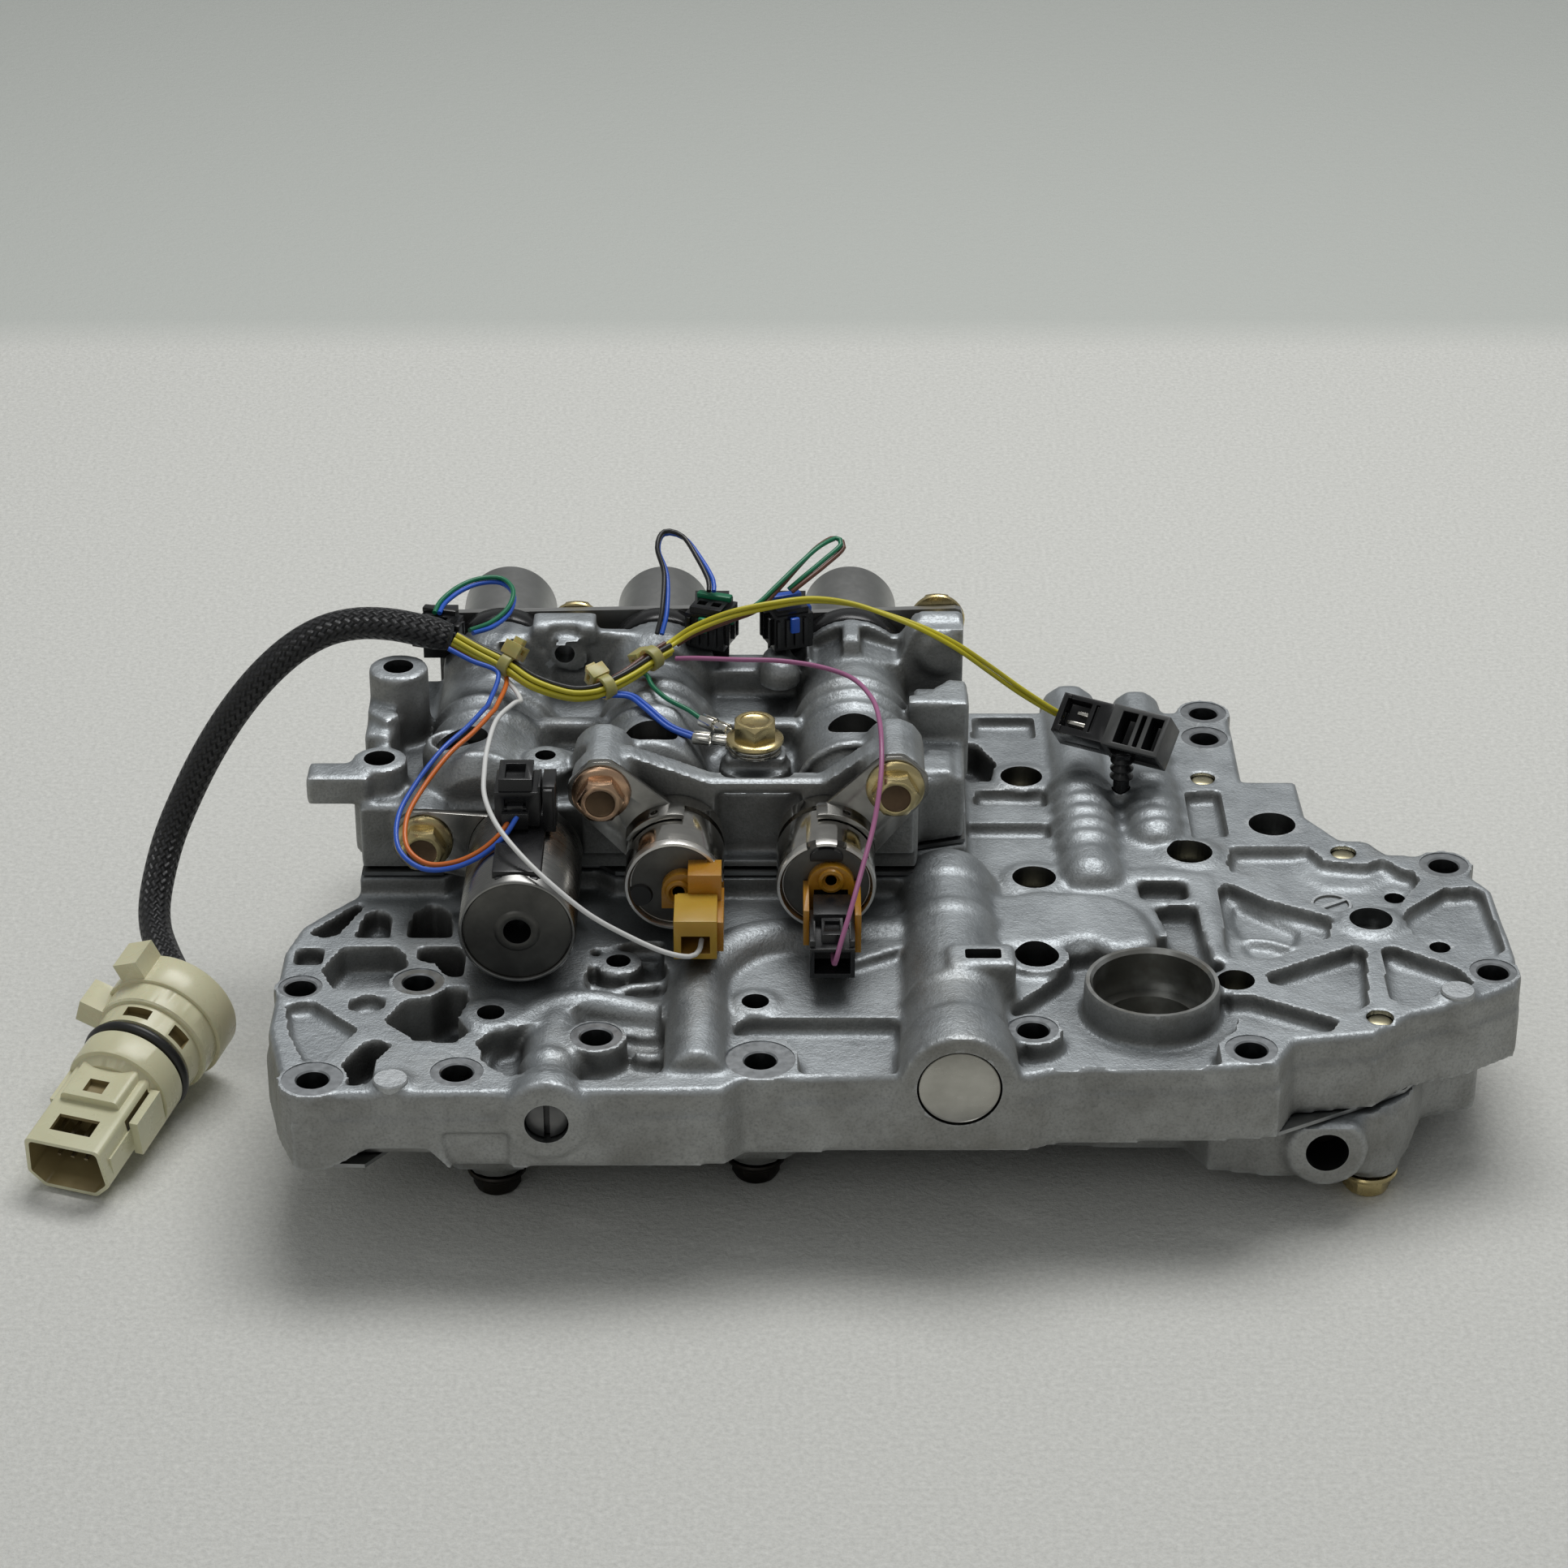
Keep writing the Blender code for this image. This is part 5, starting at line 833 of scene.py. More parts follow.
def upper_pockets():
    """Hollows of the upper casting: behind its front wall, below the rear rim and beside the collars."""
    return [
        wall([(-66, 76.5), (-46, 76.5), (-41, 88.4), (-74, 88.4)], 139, 152.0),
        slab(rounded([(-14, 91.5), (1, 91.5), (3, 98), (1.5, 101), (-15, 101), (-16.5, 98)], 2), 74.0, 99),
        slab(rounded([(-18.5, 104), (-15, 102), (-13.5, 112), (-16, 118), (-22, 117)], 1.5), 71.5, 99),
        slab(rounded([(1.5, 103), (5, 104), (7, 112), (3, 118), (0.5, 112)], 1.5), 71.5, 99),
        wall(rounded([(6.2, 87.4), (8.5, 84.0), (14.8, 86.2), (14.8, 90), (9, 88.8)], 0.8), 139, 155.5),
        wall(rounded([(20.2, 86.2), (29, 84.0), (30.5, 87), (28.5, 90.5), (20.2, 90.5)], 0.8), 139, 155.5),
        slab([(-52, 90), (-48.5, 90), (-48.5, 94), (-53, 100), (-55, 96)], 76.0, 99),
        wall([(-16.5, 57), (4.5, 57), (4.5, 77.5), (-16.5, 77.5)], 86, 94.2),
    ]


def spool_barrel(x, z, radius, ridges, y0, y1):
    """A bore housing along Y with rounded ridges at the given places."""
    profile = [(y0, radius * 0.72), (y0 + 2.5, radius)]
    for y in ridges:
        profile += [(y - 1.8, radius), (y - 0.9, radius + 1.1), (y + 0.9, radius + 1.1), (y + 1.8, radius)]
    profile.append((y1, radius))
    return lathe_y(x, z, profile, 64)


def upper_forms():
    """Forms that the CAD upper casting shows coarsely or leaves out."""
    shapes = [spool_barrel(-75.5, 70, 13.4, (96, 119, 127), 91.5, 150),
              spool_barrel(-33, 71, 13.2, (119.5, 127, 134.5), 99, 150),
              spool_barrel(17.5, 71, 14.2, (98.5, 119.5, 126.5, 133.5), 96, 157)]
    for x, y in WINDOWS:
        rim = [(6.3, 79.5), (6.9, 82.0), (7.9, 82.0), (9.2, 78.5), (9.2, 74), (6.3, 74)]
        turns = [2 * pi * i / 48 for i in range(48)]
        shapes.append(loft([[(x + 1.08 * r * cos(a), y + 0.84 * r * sin(a), z) for r, z in rim] for a in turns],
                           True))
    shapes += [lathe_y(17.5, 75.5, ((147, 13.9), (149, 14.6), (158.9, 14.6)), 64),
               lathe_y(-32.0, 75.5, ((150, 13.9), (151, 14.2), (158.9, 14.2)), 64),
               lathe_y(-73.0, 75.5, ((150, 13.9), (151, 14.2), (158.9, 14.2)), 64)]
    shapes += [wall([(-84, 62), (-18, 62), (-18, 83), (-27, 88.4), (-47, 89.4), (-65, 89.2), (-75, 88.0),
                     (-84, 82)], 151.6, 154.2),
               block(-64.6, -48.4, 151.8, 158.9, 80, 92.2), block(-64.6, -60.5, 150.2, 154, 86.8, 91.4),
               block(-52.5, -48.4, 150.2, 154, 86.8, 91.4),
               lathe_y(-56.0, 84.2, ((149.6, 3.9), (150.2, 4.8), (158.5, 5.4)), 32),
               placed(lathe([(0, 2.2), (10, 0.8)], 16),
                      Matrix.Translation((-62, 151.8, 78)) @ Matrix.Rotation(0.25, 4, "Y")),
               wall([(32, 60), (46.3, 60), (46.3, 91.3), (45, 92.6), (35, 92.6), (33.6, 90)], 154.5, 158.9),
               lathe_y(40.0, 84.8, ((147.0, 4.0), (147.8, 5.6), (158, 6.4)), 40),
               slab(rounded([(31.5, 124), (46.5, 123.6), (46.5, 136.4), (42, 137.5), (36, 130), (31.5, 128.5)],
                            0.8), 62, 83.6),
               slab(rounded([(34, 105.5), (41.5, 105.5), (41.5, 117.5), (36, 118)], 0.8), 63, 73.6)]
    knob = lathe([(0, 0.2), (0.01, 5.2), (4, 5.0), (6.4, 3.6), (7.4, 1.2)], 40)
    shapes.append(placed(knob, Matrix.Translation((-1.0, 143.5, 79.0))))
    shapes += [pillar(-59, 101.5, 5.4, 66, 80.6), pillar(-59, 101.5, 7.6, 66, 79.4), pillar(*GROUND, 9.0, 66, 76.5),
               wall([(-49, 76.5), (-40, 84.2), (-37, 86.0), (-18, 80.2), (9.5, 80.2), (21, 87.2), (31, 82),
                     (31, 78), (20, 83),
                     (10, 76.5), (-17, 76.5), (-38, 82), (-48, 74)], 89.0, 91.4)]
    shapes += [slab([(-104.3, 118), (-99, 112), (-96, 116), (-99, 123), (-104.3, 125)], 60, 84.5)]
    return shapes


def upper_skin():
    fill = [pillar(-100, 101, 4.2, UPPER_Z, 80), pillar(-97, 127.5, 4.1, UPPER_Z, 92)]
    drills = [pillar(-100, 101, 3.9, 50, 99), pillar(-97, 127.5, 3.8, 50, 99), pillar(-59, 101.5, 2.6, 73, 99, 24),
              lathe_y(-56.4, 84.4, ((139, 2.6), (154.0, 2.6)), 24)]
    bores = []
    for x, z in (PRESSURE_CAN, SHIFT_D_CAN, SHIFT_E_CAN):
        fill.append(lathe_y(x, z, ((90.1, 9.2), (104.2, 9.2))))
        bores.append(lathe_y(x, z, ((82, 8.8), (104, 8.8))))
    for x in REAR_X:
        fill.append(lathe_y(x, REAR_Z, ((139.3, 8.6), (158.9, 8.6))))
        bores.append(lathe_y(x, REAR_Z, ((139.5, 8.3), (165, 8.3))))
    for x, z in BRACKET_BOLTS:
        fill.append(lathe_y(x, z, ((83.5, 3.6), (97.2, 3.6))))
        bores.append(lathe_y(x, z, ((76, 3.3), (97, 3.3)), 24))
    for x, z in REAR_BOLTS:
        fill.append(lathe_y(x, z, ((150, 3.6), (158.9, 3.6))))
        bores.append(lathe_y(x, z, ((155, 3.3), (165, 3.3)), 24))
    fill.append(pillar(*GROUND, 3.6, 66, 80))
    drills.append(pillar(*GROUND, 3.3, 66, 90, 24))
    # The window hollows are cut with the bored material, whose painted shade darkens them.
    hollows = []
    for x, y in WINDOWS:
        oval = [(x + 6.6 * cos(a), y + 5.1 * sin(a)) for a in [2 * pi * i / 32 for i in range(32)]]
        hollows.append(slab(oval, 68.0, 99))
    late = [
        wall(rounded([(5.4, 86.3), (7.6, 82.5), (15.0, 85.6), (15.0, 90.5), (9, 89.0)], 1.0), 139, 155.6),
        wall(rounded([(19.6, 85.8), (29.5, 82.5), (31.2, 87), (28.5, 91.0), (19.6, 91.0)], 1.0), 139, 155.6),
    ]
    casting("upper_casting", upper_pockets(), fill + upper_forms(), late,
            ((drills + hollows, BORE), (bores, BORE_Y)),
            0.75, 3, 170000)
    lands = [(y + d, r) for y in (101.6, 105.0, 108.4, 111.8) for d, r in
             ((0, 5.8), (0.2, 7.9), (0.5, 8.2), (1.7, 8.2), (2.0, 7.9), (2.2, 5.8))]
    piece("window_spools", [lathe_y(x, 70.6, lands, 56) for x, _ in WINDOWS], FACE)


def lower_skin():
    fill = [pillar(x, y, 3.6, LOWER_Z, LOWER_TOP) for x, y, _ in BOTTOM_BOLTS]
    fill.append(lathe_y(*MANUAL, ((18.1, 5.4), (104.2, 5.4))))
    drills = [pillar(x, y, 3.3, LOWER_Z - 3, 30, 24) for x, y, _ in BOTTOM_BOLTS]
    bores = [lathe_y(*MANUAL, ((10, 5.12), (104, 5.12)))]
    casting("lower_casting", [], fill, [], ((drills, BORE), (bores, BORE_Y)), 1.2, 4, 60000)


main_skin()
deck_marks()
upper_skin()
lower_skin()


# Solenoids

def ring_cut(x, z, y0, y1, r, count=32):
    return lathe_y(x, z, ((y0, r), (y1, r)), count)


def pressure_solenoid():
    """The large can: a bright rolled rim, a darker face with a raised eye, and the black strip to its plug."""
    x, z = PRESSURE_CAN
    can = lathe_y(x, z,
                  ((44.7, 12.85), (43.75, 12.95), (43.5, 13.2), (43.55, 13.6), (44.1, 14.0), (81, 14.0),
                   (81.01, 11),
                         (88.2, 11), (88.21, 8.5), (103, 8.5)), 96)
    piece("pressure_can", [can], CAN, ("pressure_solenoid",), cuts=[ring_cut(x, z, 40, 52.5, 3.4)],
          cut_material=BLACK)
    face = lathe_y(x, z,
                   ((44.9, 12.8), (44.25, 12.75), (44.12, 12.3), (44.1, 5.5), (43.75, 5.1), (43.6, 4.7),
                    (43.6, 3.6),
                          (43.8, 3.2)), 96)
    piece("pressure_face", [face], FACE, cuts=[ring_cut(x, z, 40, 52.4, 3.3)], cut_material=BLACK)
    strip = [block(-68.9, -57.3, 46.6, 80, 72, 78.8), block(-68.2, -58, 45.4, 48, 74, 77.6)]
    piece("pressure_strip", strip, BLACK, bevel=0.4)


def pressure_plug():
    """The plug on the pressure solenoid: a shell with a key rib, a latch arm and the guard beside it."""
    shell = [block(-69.3, -58.6, 67.7, 79.4, 79.2, 88.4), block(-68.4, -60.2, 68.4, 78.6, 88, 91.6),
             block(-58.9, -54.8, 68.2, 77.2, 77.4, 89.8), block(-57.6, -55.4, 67.0, 78, 78.2, 89.2),
             block(-67.6, -61.2, 65.6, 69, 79.4, 83.6)]
    cuts = [block(-66.8, -62, 69.4, 76.6, 89.6, 94), block(-67, -61.8, 66, 68.9, 84.2, 86.8),
            block(-58.3, -57.8, 66, 80, 82, 93)]
    piece("pressure_plug_shell", shell, BLACK, ("pressure_plug",), bevel=0.35, cuts=cuts)
    latch = [block(-66.4, -62.4, 66.9, 69, 83, 85.2), block(-67.2, -61.6, 67.1, 68.4, 83.8, 84.6)]
    piece("pressure_plug_latch", latch, BLACK_SHEEN, bevel=0.3)


def shift_can(name, place, node, notches):
    """A bright can with the groove of its bracket, a dark face and a rim that is cut away at some turns; the rim takes
    a lighter copy of the metal as a painted highlight.
    """
    x, z = place
    can = lathe_y(x, z, ((66.2, 10.5), (65.2, 10.6), (64.55, 10.9), (64.3, 11.3), (64.45, 11.75), (65.1, 12.0),
                         (81, 12.0), (81.01, 10.4), (83.4, 10.4), (83.41, 12.0), (88.2, 12.0), (88.21, 8.5), (103,
                                                                                                              8.5)), 96)
    cuts = []
    for at, width in notches:
        turn = Matrix.Translation((x, 0, z)) @ Matrix.Rotation(radians(-at), 4, "Y")
        cuts.append(placed(block(9, 14, 62, 66.4, -width / 2, width / 2), turn))
    piece(name + "_can", [can], NICKEL, (node,), cuts=cuts)
    # Painted highlight: the rim is its own piece in lighter metal than the can.
    rim = lathe_y(x, z, ((65.6, 10.55), (64.8, 10.7), (64.2, 11.2), (64.3, 11.85), (65.1, 12.07), (66.3, 12.07)),
                  96)
    piece(name + "_rim", [rim], RIM_PAINTED_HIGHLIGHT, cuts=cuts)
    face = lathe_y(x, z, ((66.4, 10.4), (65.6, 10.4), (65.45, 10.0), (65.3, 3.0), (65.4, 0.1)), 64)
    piece(name + "_face", [face], FACE)


def arch(x, half, z0, z1, top):
    """An outline with upright sides and a round top, as (x, z) points."""
    arc = [(x + half * cos(a), z1 + (top - z1) * sin(a)) for a in [pi * i / 14 for i in range(15)]]
    return [(x + half, z0)] + arc + [(x - half, z0)]


def shift_solenoids():
    shift_can("shift_d", SHIFT_D_CAN, "shift_solenoid_d", ((-12, 7.5),))
    shift_can("shift_e", SHIFT_E_CAN, "shift_solenoid_e", ((72, 2.4), (108, 2.4)))
    resin = [lathe_y(-34.7, 61.6, ((64.7, 2.7), (65.5, 3.1)), 20)]
    piece("shift_d_resin", resin, RUBBER)
    piece("shift_e_resin", [wall(arch(10.2, 4.0, 71.4, 72.4, 75.0), 64.0, 65.8)], RUBBER, bevel=0.4)
    boss = [wall(arch(-24.6, 4.9, 59.6, 64, 69), 62.3, 65.5), block(-23, -15, 57.8, 65.4, 58.2, 71.3),
            block(-16.4, -14.4, 47.4, 64, 56.4, 64.4)]
    # Painted shade: the eye hole of this housing has black walls so that it reads dark.
    piece("shift_d_housing", boss, AMBER, (), bevel=0.45,
          cuts=[ring_cut(-25.4, 64.2, 60, 63.9, 1.5, 20)], cut_material=BLACK)
    piece("shift_d_eye", [lathe_y(-25.4, 64.2, ((62.6, 3.4), (61.6, 3.1), (61.3, 2.4), (62.6, 1.6)), 24)], AMBER)
    body = [block(-26.2, -15.9, 44.4, 57.4, 56, 66.4), block(-25.6, -16.6, 57, 58.6, 58, 66.0)]
    # The opening in the plug is lined with the darker amber as painted shade.
    piece("shift_d_plug", body, AMBER_PALE, ("shift_plug_d",), bevel=0.4,
          cuts=[block(-24.4, -17.6, 43, 54, 57.6, 62.2)], cut_material=AMBER_PAINTED_SHADE)
    walls = [wall(arch(11.3, 5.6, 57, 65.6, 71.0), 62.6, 65.5), block(4.6, 6.0, 50.5, 65, 56.2, 65.8),
             block(16.9, 18.4, 48.5, 65, 55.4, 65.8)]
    # Painted shade: the eye hole and the hollow of this housing have black walls so that they read dark.
    piece("shift_e_housing", walls, AMBER, (), bevel=0.4,
          cuts=[ring_cut(11.3, 67.2, 60, 63.8, 1.4, 20), block(7.2, 15.4, 60, 64, 56, 64.6)], cut_material=BLACK)
    ring = lathe_y(11.3, 67.2, ((62.8, 3.3), (61.8, 3.0), (61.5, 2.3), (62.8, 1.5)), 24)
    piece("shift_e_eye", [ring], AMBER)
    shell = [block(6.1, 16.8, 39.4, 58, 53.9, 61.8), block(7.0, 15.9, 50.6, 60, 60, 64.8),
             block(8.9, 14, 42.4, 52, 61, 64.0), block(6.1, 7.4, 40.4, 55, 61, 63.4), block(15.5, 16.8, 40.4, 55,
                                                                                            61, 63.4)]
    piece("shift_e_plug", shell, BLACK, ("shift_plug_e",), bevel=0.35,
          cuts=[block(7.2, 15.7, 38, 46.5, 55.0, 60.9), block(9.7, 13.2, 44.4, 49, 63.0, 66)])


def rear_solenoids():
    """Three grey cans to the rear, each with a black coil body against the casting and a ribbed plug."""
    for name, x in zip("abc", REAR_X):
        can = lathe_y(x, REAR_Z, ((165.4, 12.3), (194.4, 12.3), (195.6, 11.9), (196, 11.0)), 96)
        piece(f"rear_can_{name}", [can], CAN_REAR, (f"rear_solenoid_{name}",))
        body = lathe_y(x, REAR_Z,
                       ((141, 8.0), (158.9, 8.0), (159.3, 14.1), (159.8, 14.5), (165.2, 14.5), (165.7, 14.1)), 96)
        piece(f"rear_coil_{name}", [body], BLACK)
    plugs = (("a", -95.0, -83.0, 94.0, -16, "black"), ("b", -24.6, -12.6, 98.0, -20, "green"),
             ("c", -5.8, 7.2, 98.0, 20, "blue"))
    for name, x0, x1, top, turn, lock in plugs:
        middle, low = (x0 + x1) / 2, 86.9
        shell = [block(-5.2, 5.2, -5.2, 5.2, low, top - 1.6), block(-4.2, 4.2, -4.6, 4.6, low, top)]
        shell += [block(x, x + 0.9, -6.0, 6.0, low + 1, top - 2.6) for x in (-4.6, -2.2, 0.2, 2.6)]
        shell += [block(-6.0, 6.0, y, y + 0.9, low + 1, top - 2.6) for y in (-3.4, 0.6, 3.0)]
        place = Matrix.Translation((middle, 152.4, 0)) @ Matrix.Rotation(radians(turn), 4, "Z")
        holes = [placed(block(x, x + 2.4, -2.6, -0.2, top - 4, top + 3), place) for x in (-3.1, 0.7)]
        seat = [block(x0 + 1.6, x1 - 1.6, 157, 165.4, 79.5, top - 3.2)]
        piece(f"rear_plug_shell_{name}", [placed(s, place) for s in shell] + seat, BLACK,
              (f"rear_plug_{name}",),
              bevel=0.3, cuts=holes)
        bar = [block(-4.6, 4.6, 1.2, 3.6, top - 0.4, top + 1.2), block(-1.2, 1.2, -6.9, -5.6, top - 6, top - 1.8)]
        bar.append(block(4.8, 6.4, -1.4, 1.4, top - 5.2, top - 1.6))
        piece(f"rear_lock_{name}", [placed(s, place) for s in bar], WIRES[lock], bevel=0.4)


def bracket(name, bolt, can, seat, tab, node):
    """A stamped bracket: a lever from its bolt to the can's groove, and a lip that wraps the top of the can."""
    bx, bz = bolt
    reach = Vector((can[0] - bx, can[1] - bz))
    size, angle = reach.length, atan2(reach.y, reach.x)
    lever = [(-7.4, -4), (-4, -7.4), (0, -8), (size - 2, -9.5), (size + 1, -7), (size + 1, 7), (size - 2, 9.5),
             (0, 8), (-4, 7.4), (-7.4, 4)]
    lever = rounded([(bx + u * cos(angle) - v * sin(angle), bz + u * sin(angle) + v * cos(angle)) for u,
                     v in lever], 3.0)
    cuts = [lathe_y(bx, bz, ((70, 3.3), (90, 3.3)), 24),
            lathe_y(can[0], can[1], ((81.15, seat + 0.2), (90, seat + 0.2)), 64)]
    shapes = [wall(lever, 81.3, 83.1)]
    if tab:
        inner, outer = 12.3, 13.6
        turns = [radians(a) for a in (range(80, 153, 3) if bx < can[0] else range(28, 101, 3))]
        arc = [(can[0] + outer * cos(a), can[1] + outer * sin(a)) for a in turns]
        arc += [(can[0] + inner * cos(a), can[1] + inner * sin(a)) for a in reversed(turns)]
        shapes.append(wall(arc, 75.8, 82))
        at = radians(112 if bx < can[0] else 68)
        hole = Matrix.Translation((can[0] + 13 * cos(at), 78.4, can[1] + 13 * sin(at)))
        turn = Vector((0, 0, 1)).rotation_difference(Vector((cos(at), 0, sin(at)))).to_matrix().to_4x4()
        cuts.append(placed(lathe([(-6, 1.0), (6, 1.0)], 20), hole @ turn))
    piece(name, shapes, STAMPED, (node,), bevel=0.45, cuts=cuts)


# Fasteners

def at_origin(shape):
    """The shape moved so that its own origin becomes the row frame's."""
    return placed(shape, Matrix.Translation((*ORIGIN, 0)))


def bolt_mesh(length, material, centre=None):
    """A hexagon flange bolt: chamfered head with a sunk middle, washer flange, shank with thread rings."""
    corner = 10 / sqrt(3)
    head = linked("head", mesh_from("head", at_origin(slab(circle(0, 0, corner, 6), -6.1, -1.0))))
    cone = at_origin(lathe([(-6.2, 4.55), (-5.5, 5.25), (-4.9, 5.9), (-0.5, 5.9)], 60))
    tool = linked("cone", mesh_from("cone", cone))
    step = head.modifiers.new("trim", "BOOLEAN")
    step.operation, step.object, step.solver = "INTERSECT", tool, "EXACT"
    baked(head)
    bpy.data.objects.remove(tool)
    head.data.materials.append(material)
    carve(head, [at_origin(lathe([(-8, 3.9), (-5.75, 3.6), (-5.5, 3.0)], 40))], centre or RUSTY)
    rounded_edges(head, 0.22)
    profile = [(-1.7, 5.2), (-1.5, 6.6), (-1.1, 7.1), (-0.5, 7.2), (0, 6.9), (0.01, 3.0)]
    z = 2.0
    while z < length - 1.5:
        profile += [(z, 3.0), (z + 0.45, 2.7), (z + 0.9, 3.0)]
        z += 1.25
    profile += [(length - 1, 2.9), (length, 2.2)]
    lower = linked("shank", mesh_from("shank", at_origin(lathe(profile, 32))))
    lower.data.materials.append(material)
    with bpy.context.temp_override(active_object=head, selected_editable_objects=[head, lower]):
        bpy.ops.object.join()
    made = head.data
    bpy.data.objects.remove(head)
    return made


def bolt(name, mesh, position, axis, slot):
    """A copy of a bolt whose head points along an axis."""
    item = linked(name + "_flanged", mesh.copy())
    turn = Vector((0, 0, -1)).rotation_difference(Vector(axis)).to_matrix().to_4x4()
    item.data.transform(Matrix.Translation(metres(position)) @ turn)
    shaded(item, 35)
    attach(item, (name,), "stack")


def bolts():
    steel_bolt = bolt_mesh(38, ZINC)
    for i, (x, y, tip) in enumerate(BOTTOM_BOLTS, 1):
        made = steel_bolt if tip > 46 else bolt_mesh(tip - LOWER_Z, OILED_STEEL_AND_SHADE, OILED_STEEL_AND_SHADE)
        bolt(f"bottom_bolt_{i}", made, (x, y, LOWER_Z - 0.3), (0, 0, -1), "zinc")
    short, red = bolt_mesh(14, ZINC), bolt_mesh(14, COPPER)
    finishes = ((short, "zinc"), (red, "copper"), (short, "zinc"))
    for letter, (x, z), (made, slot) in zip("pde", BRACKET_BOLTS, finishes):
        bolt(f"bracket_bolt_{letter}", made, (x, 81.0, z), (0, -1, 0), slot)
    bolt("ground_bolt", bolt_mesh(14, ZINC, ZINC), (*GROUND, 82.5), (0, 0, 1), "zinc")
    rear = bolt_mesh(12, ZINC)
    for i, (x, z) in enumerate(REAR_BOLTS, 1):
        bolt(f"rear_bolt_{i}", rear, (x, 168.3, z), (0, 1, 0), "zinc")


def terminal(name, z, direction, length, node):
    """A crimp terminal: washer, neck and a barrel folded round the wire's end."""
    away = Vector(direction).normalized()
    turn = Matrix.Translation((*GROUND, z)) @ Matrix.Rotation(atan2(away.y, away.x), 4, "Z")
    washer = slab(circle(0, 0, 6.6, 40), 0, 0.8)
    neck = slab([(4, -2.2), (length - 8, -1.5), (length - 8, 1.5), (4, 2.2)], 0.02, 0.78)
    shapes = [washer, neck]
    for start, end, r in ((length - 8.2, length - 4.6, 1.5), (length - 3.8, length + 0.4, 1.75)):
        wrap = [(r * cos(a), 1.6 + r * sin(a)) for a in [radians(-250 + 20 * i) for i in range(17)]]
        inner = [(0.72 * y, 1.6 + 0.72 * (h - 1.6)) for y, h in reversed(wrap)]
        shapes.append(loft([[(x, y, h) for y, h in wrap + inner] for x in (start, end)]))
    piece(name, [placed(s, turn) for s in shapes], TIN, (node,), bevel=0.12,
          cuts=[pillar(*GROUND, 3.3, z - 2, z + 3, 24)])


# Wiring

def carried(route, across, down):
    """The route's points moved sideways, to start a wire in its place in the bundle."""
    return [tuple(p + side * across + up * down) for p, side, up in frames_along([Vector(q) for q in route])]


TRUNK_ROUTE = (
    (-83.3, 135.8, 95.6), (-77.5, 134.2, 93.0), (-69.9, 131.0, 90.6), (-62.5, 124.5, 89.0), (-54.0, 120.8, 88.0),
    (-48.5, 121.0, 88.0), (-44.6, 122.8, 88.6), (-39.0, 127.8, 89.6), (-33.4, 134.4, 90.8), (-29.4, 138.8, 91.5),
)
SENSOR_ROUTE = (
    (-27.4, 140.6, 92.8), (-22.5, 141.4, 95.8), (-13.6, 141.6, 99.6), (-3.3, 143.2, 101.4), (7.1, 147.2, 101.0),
    (17.5, 149.2, 98.8), (28.0, 146.8, 96.3), (36.4, 145.2, 93.3), (44.9, 146.0, 87.9), (53.3, 148.6, 80.3),
    (61.7, 149.8, 73.2), (70.6, 150.2, 67.0), (72.4, 150.0, 66.8),
)
PRESSURE_ROUTE = (
    (-73.0, 123.0, 86.4), (-72.6, 116.5, 87.2), (-74.0, 109.1, 88.2), (-77.5, 101.1, 87.6), (-83.0, 92.4, 86.0),
    (-89.0, 82.3, 81.6), (-92.2, 73.6, 78.0), (-91.4, 65.0, 74.6), (-86.0, 60.0, 72.6), (-79.0, 59.0, 73.4),
    (-72.5, 60.0, 76.0), (-67.4, 62.8, 79.4), (-64.6, 66.6, 82.4),
)
SHIFT_D_ROUTE = (
    (-66.0, 119.6, 86.8), (-67.3, 113.7, 88.6), (-71.0, 104.8, 88.6), (-72.4, 91.7, 88.0), (-72.4, 80.0, 88.0),
    (-71.8, 70.0, 86.4), (-68.4, 58.4, 85.2), (-62.8, 50.0, 82.2), (-55.4, 43.2, 78.0), (-46.0, 40.4, 70.8),
    (-36.0, 39.6, 64.8), (-28.0, 39.6, 60.8), (-22.4, 41.0, 58.8), (-20.2, 43.4, 59.0), (-19.6, 47.5, 59.6),
)
SHIFT_E_ROUTE = (
    (-27.4, 135.4, 90.2), (-21.8, 133.4, 91.3), (-11.4, 129.2, 93.0), (-1.2, 126.6, 94.0), (9.0, 122.1, 94.6),
    (17.0, 115.3, 94.8), (21.6, 104.6, 94.8), (23.2, 94.0, 94.6), (23.6, 83.0, 93.0), (23.2, 74.0, 88.4),
    (21.6, 65.4, 81.6), (18.8, 55.4, 75.4), (15.9, 45.6, 69.4), (13.4, 39.6, 63.4), (12.0, 37.6, 58.9), (11.6, 43.6,
                                                                                                         57.9),
)
GROUND_PAIR_ROUTE = ((-47.5, 121.6, 87.0), (-42.5, 122.2, 86.8), (-38.4, 121.6, 86.6), (-34.6, 117.4, 85.8),
                     (-28.6, 111.0, 83.6), (-22.7, 108.5, 82.2))
GROUND_ROUTE = ((-36.6, 130.4, 89.4), (-34.6, 130.4, 88.0), (-33.2, 126.6, 87.0), (-29.4, 121.4, 86.0),
                (-24.0, 118.0, 84.6), (-20.8, 115.7, 83.3))
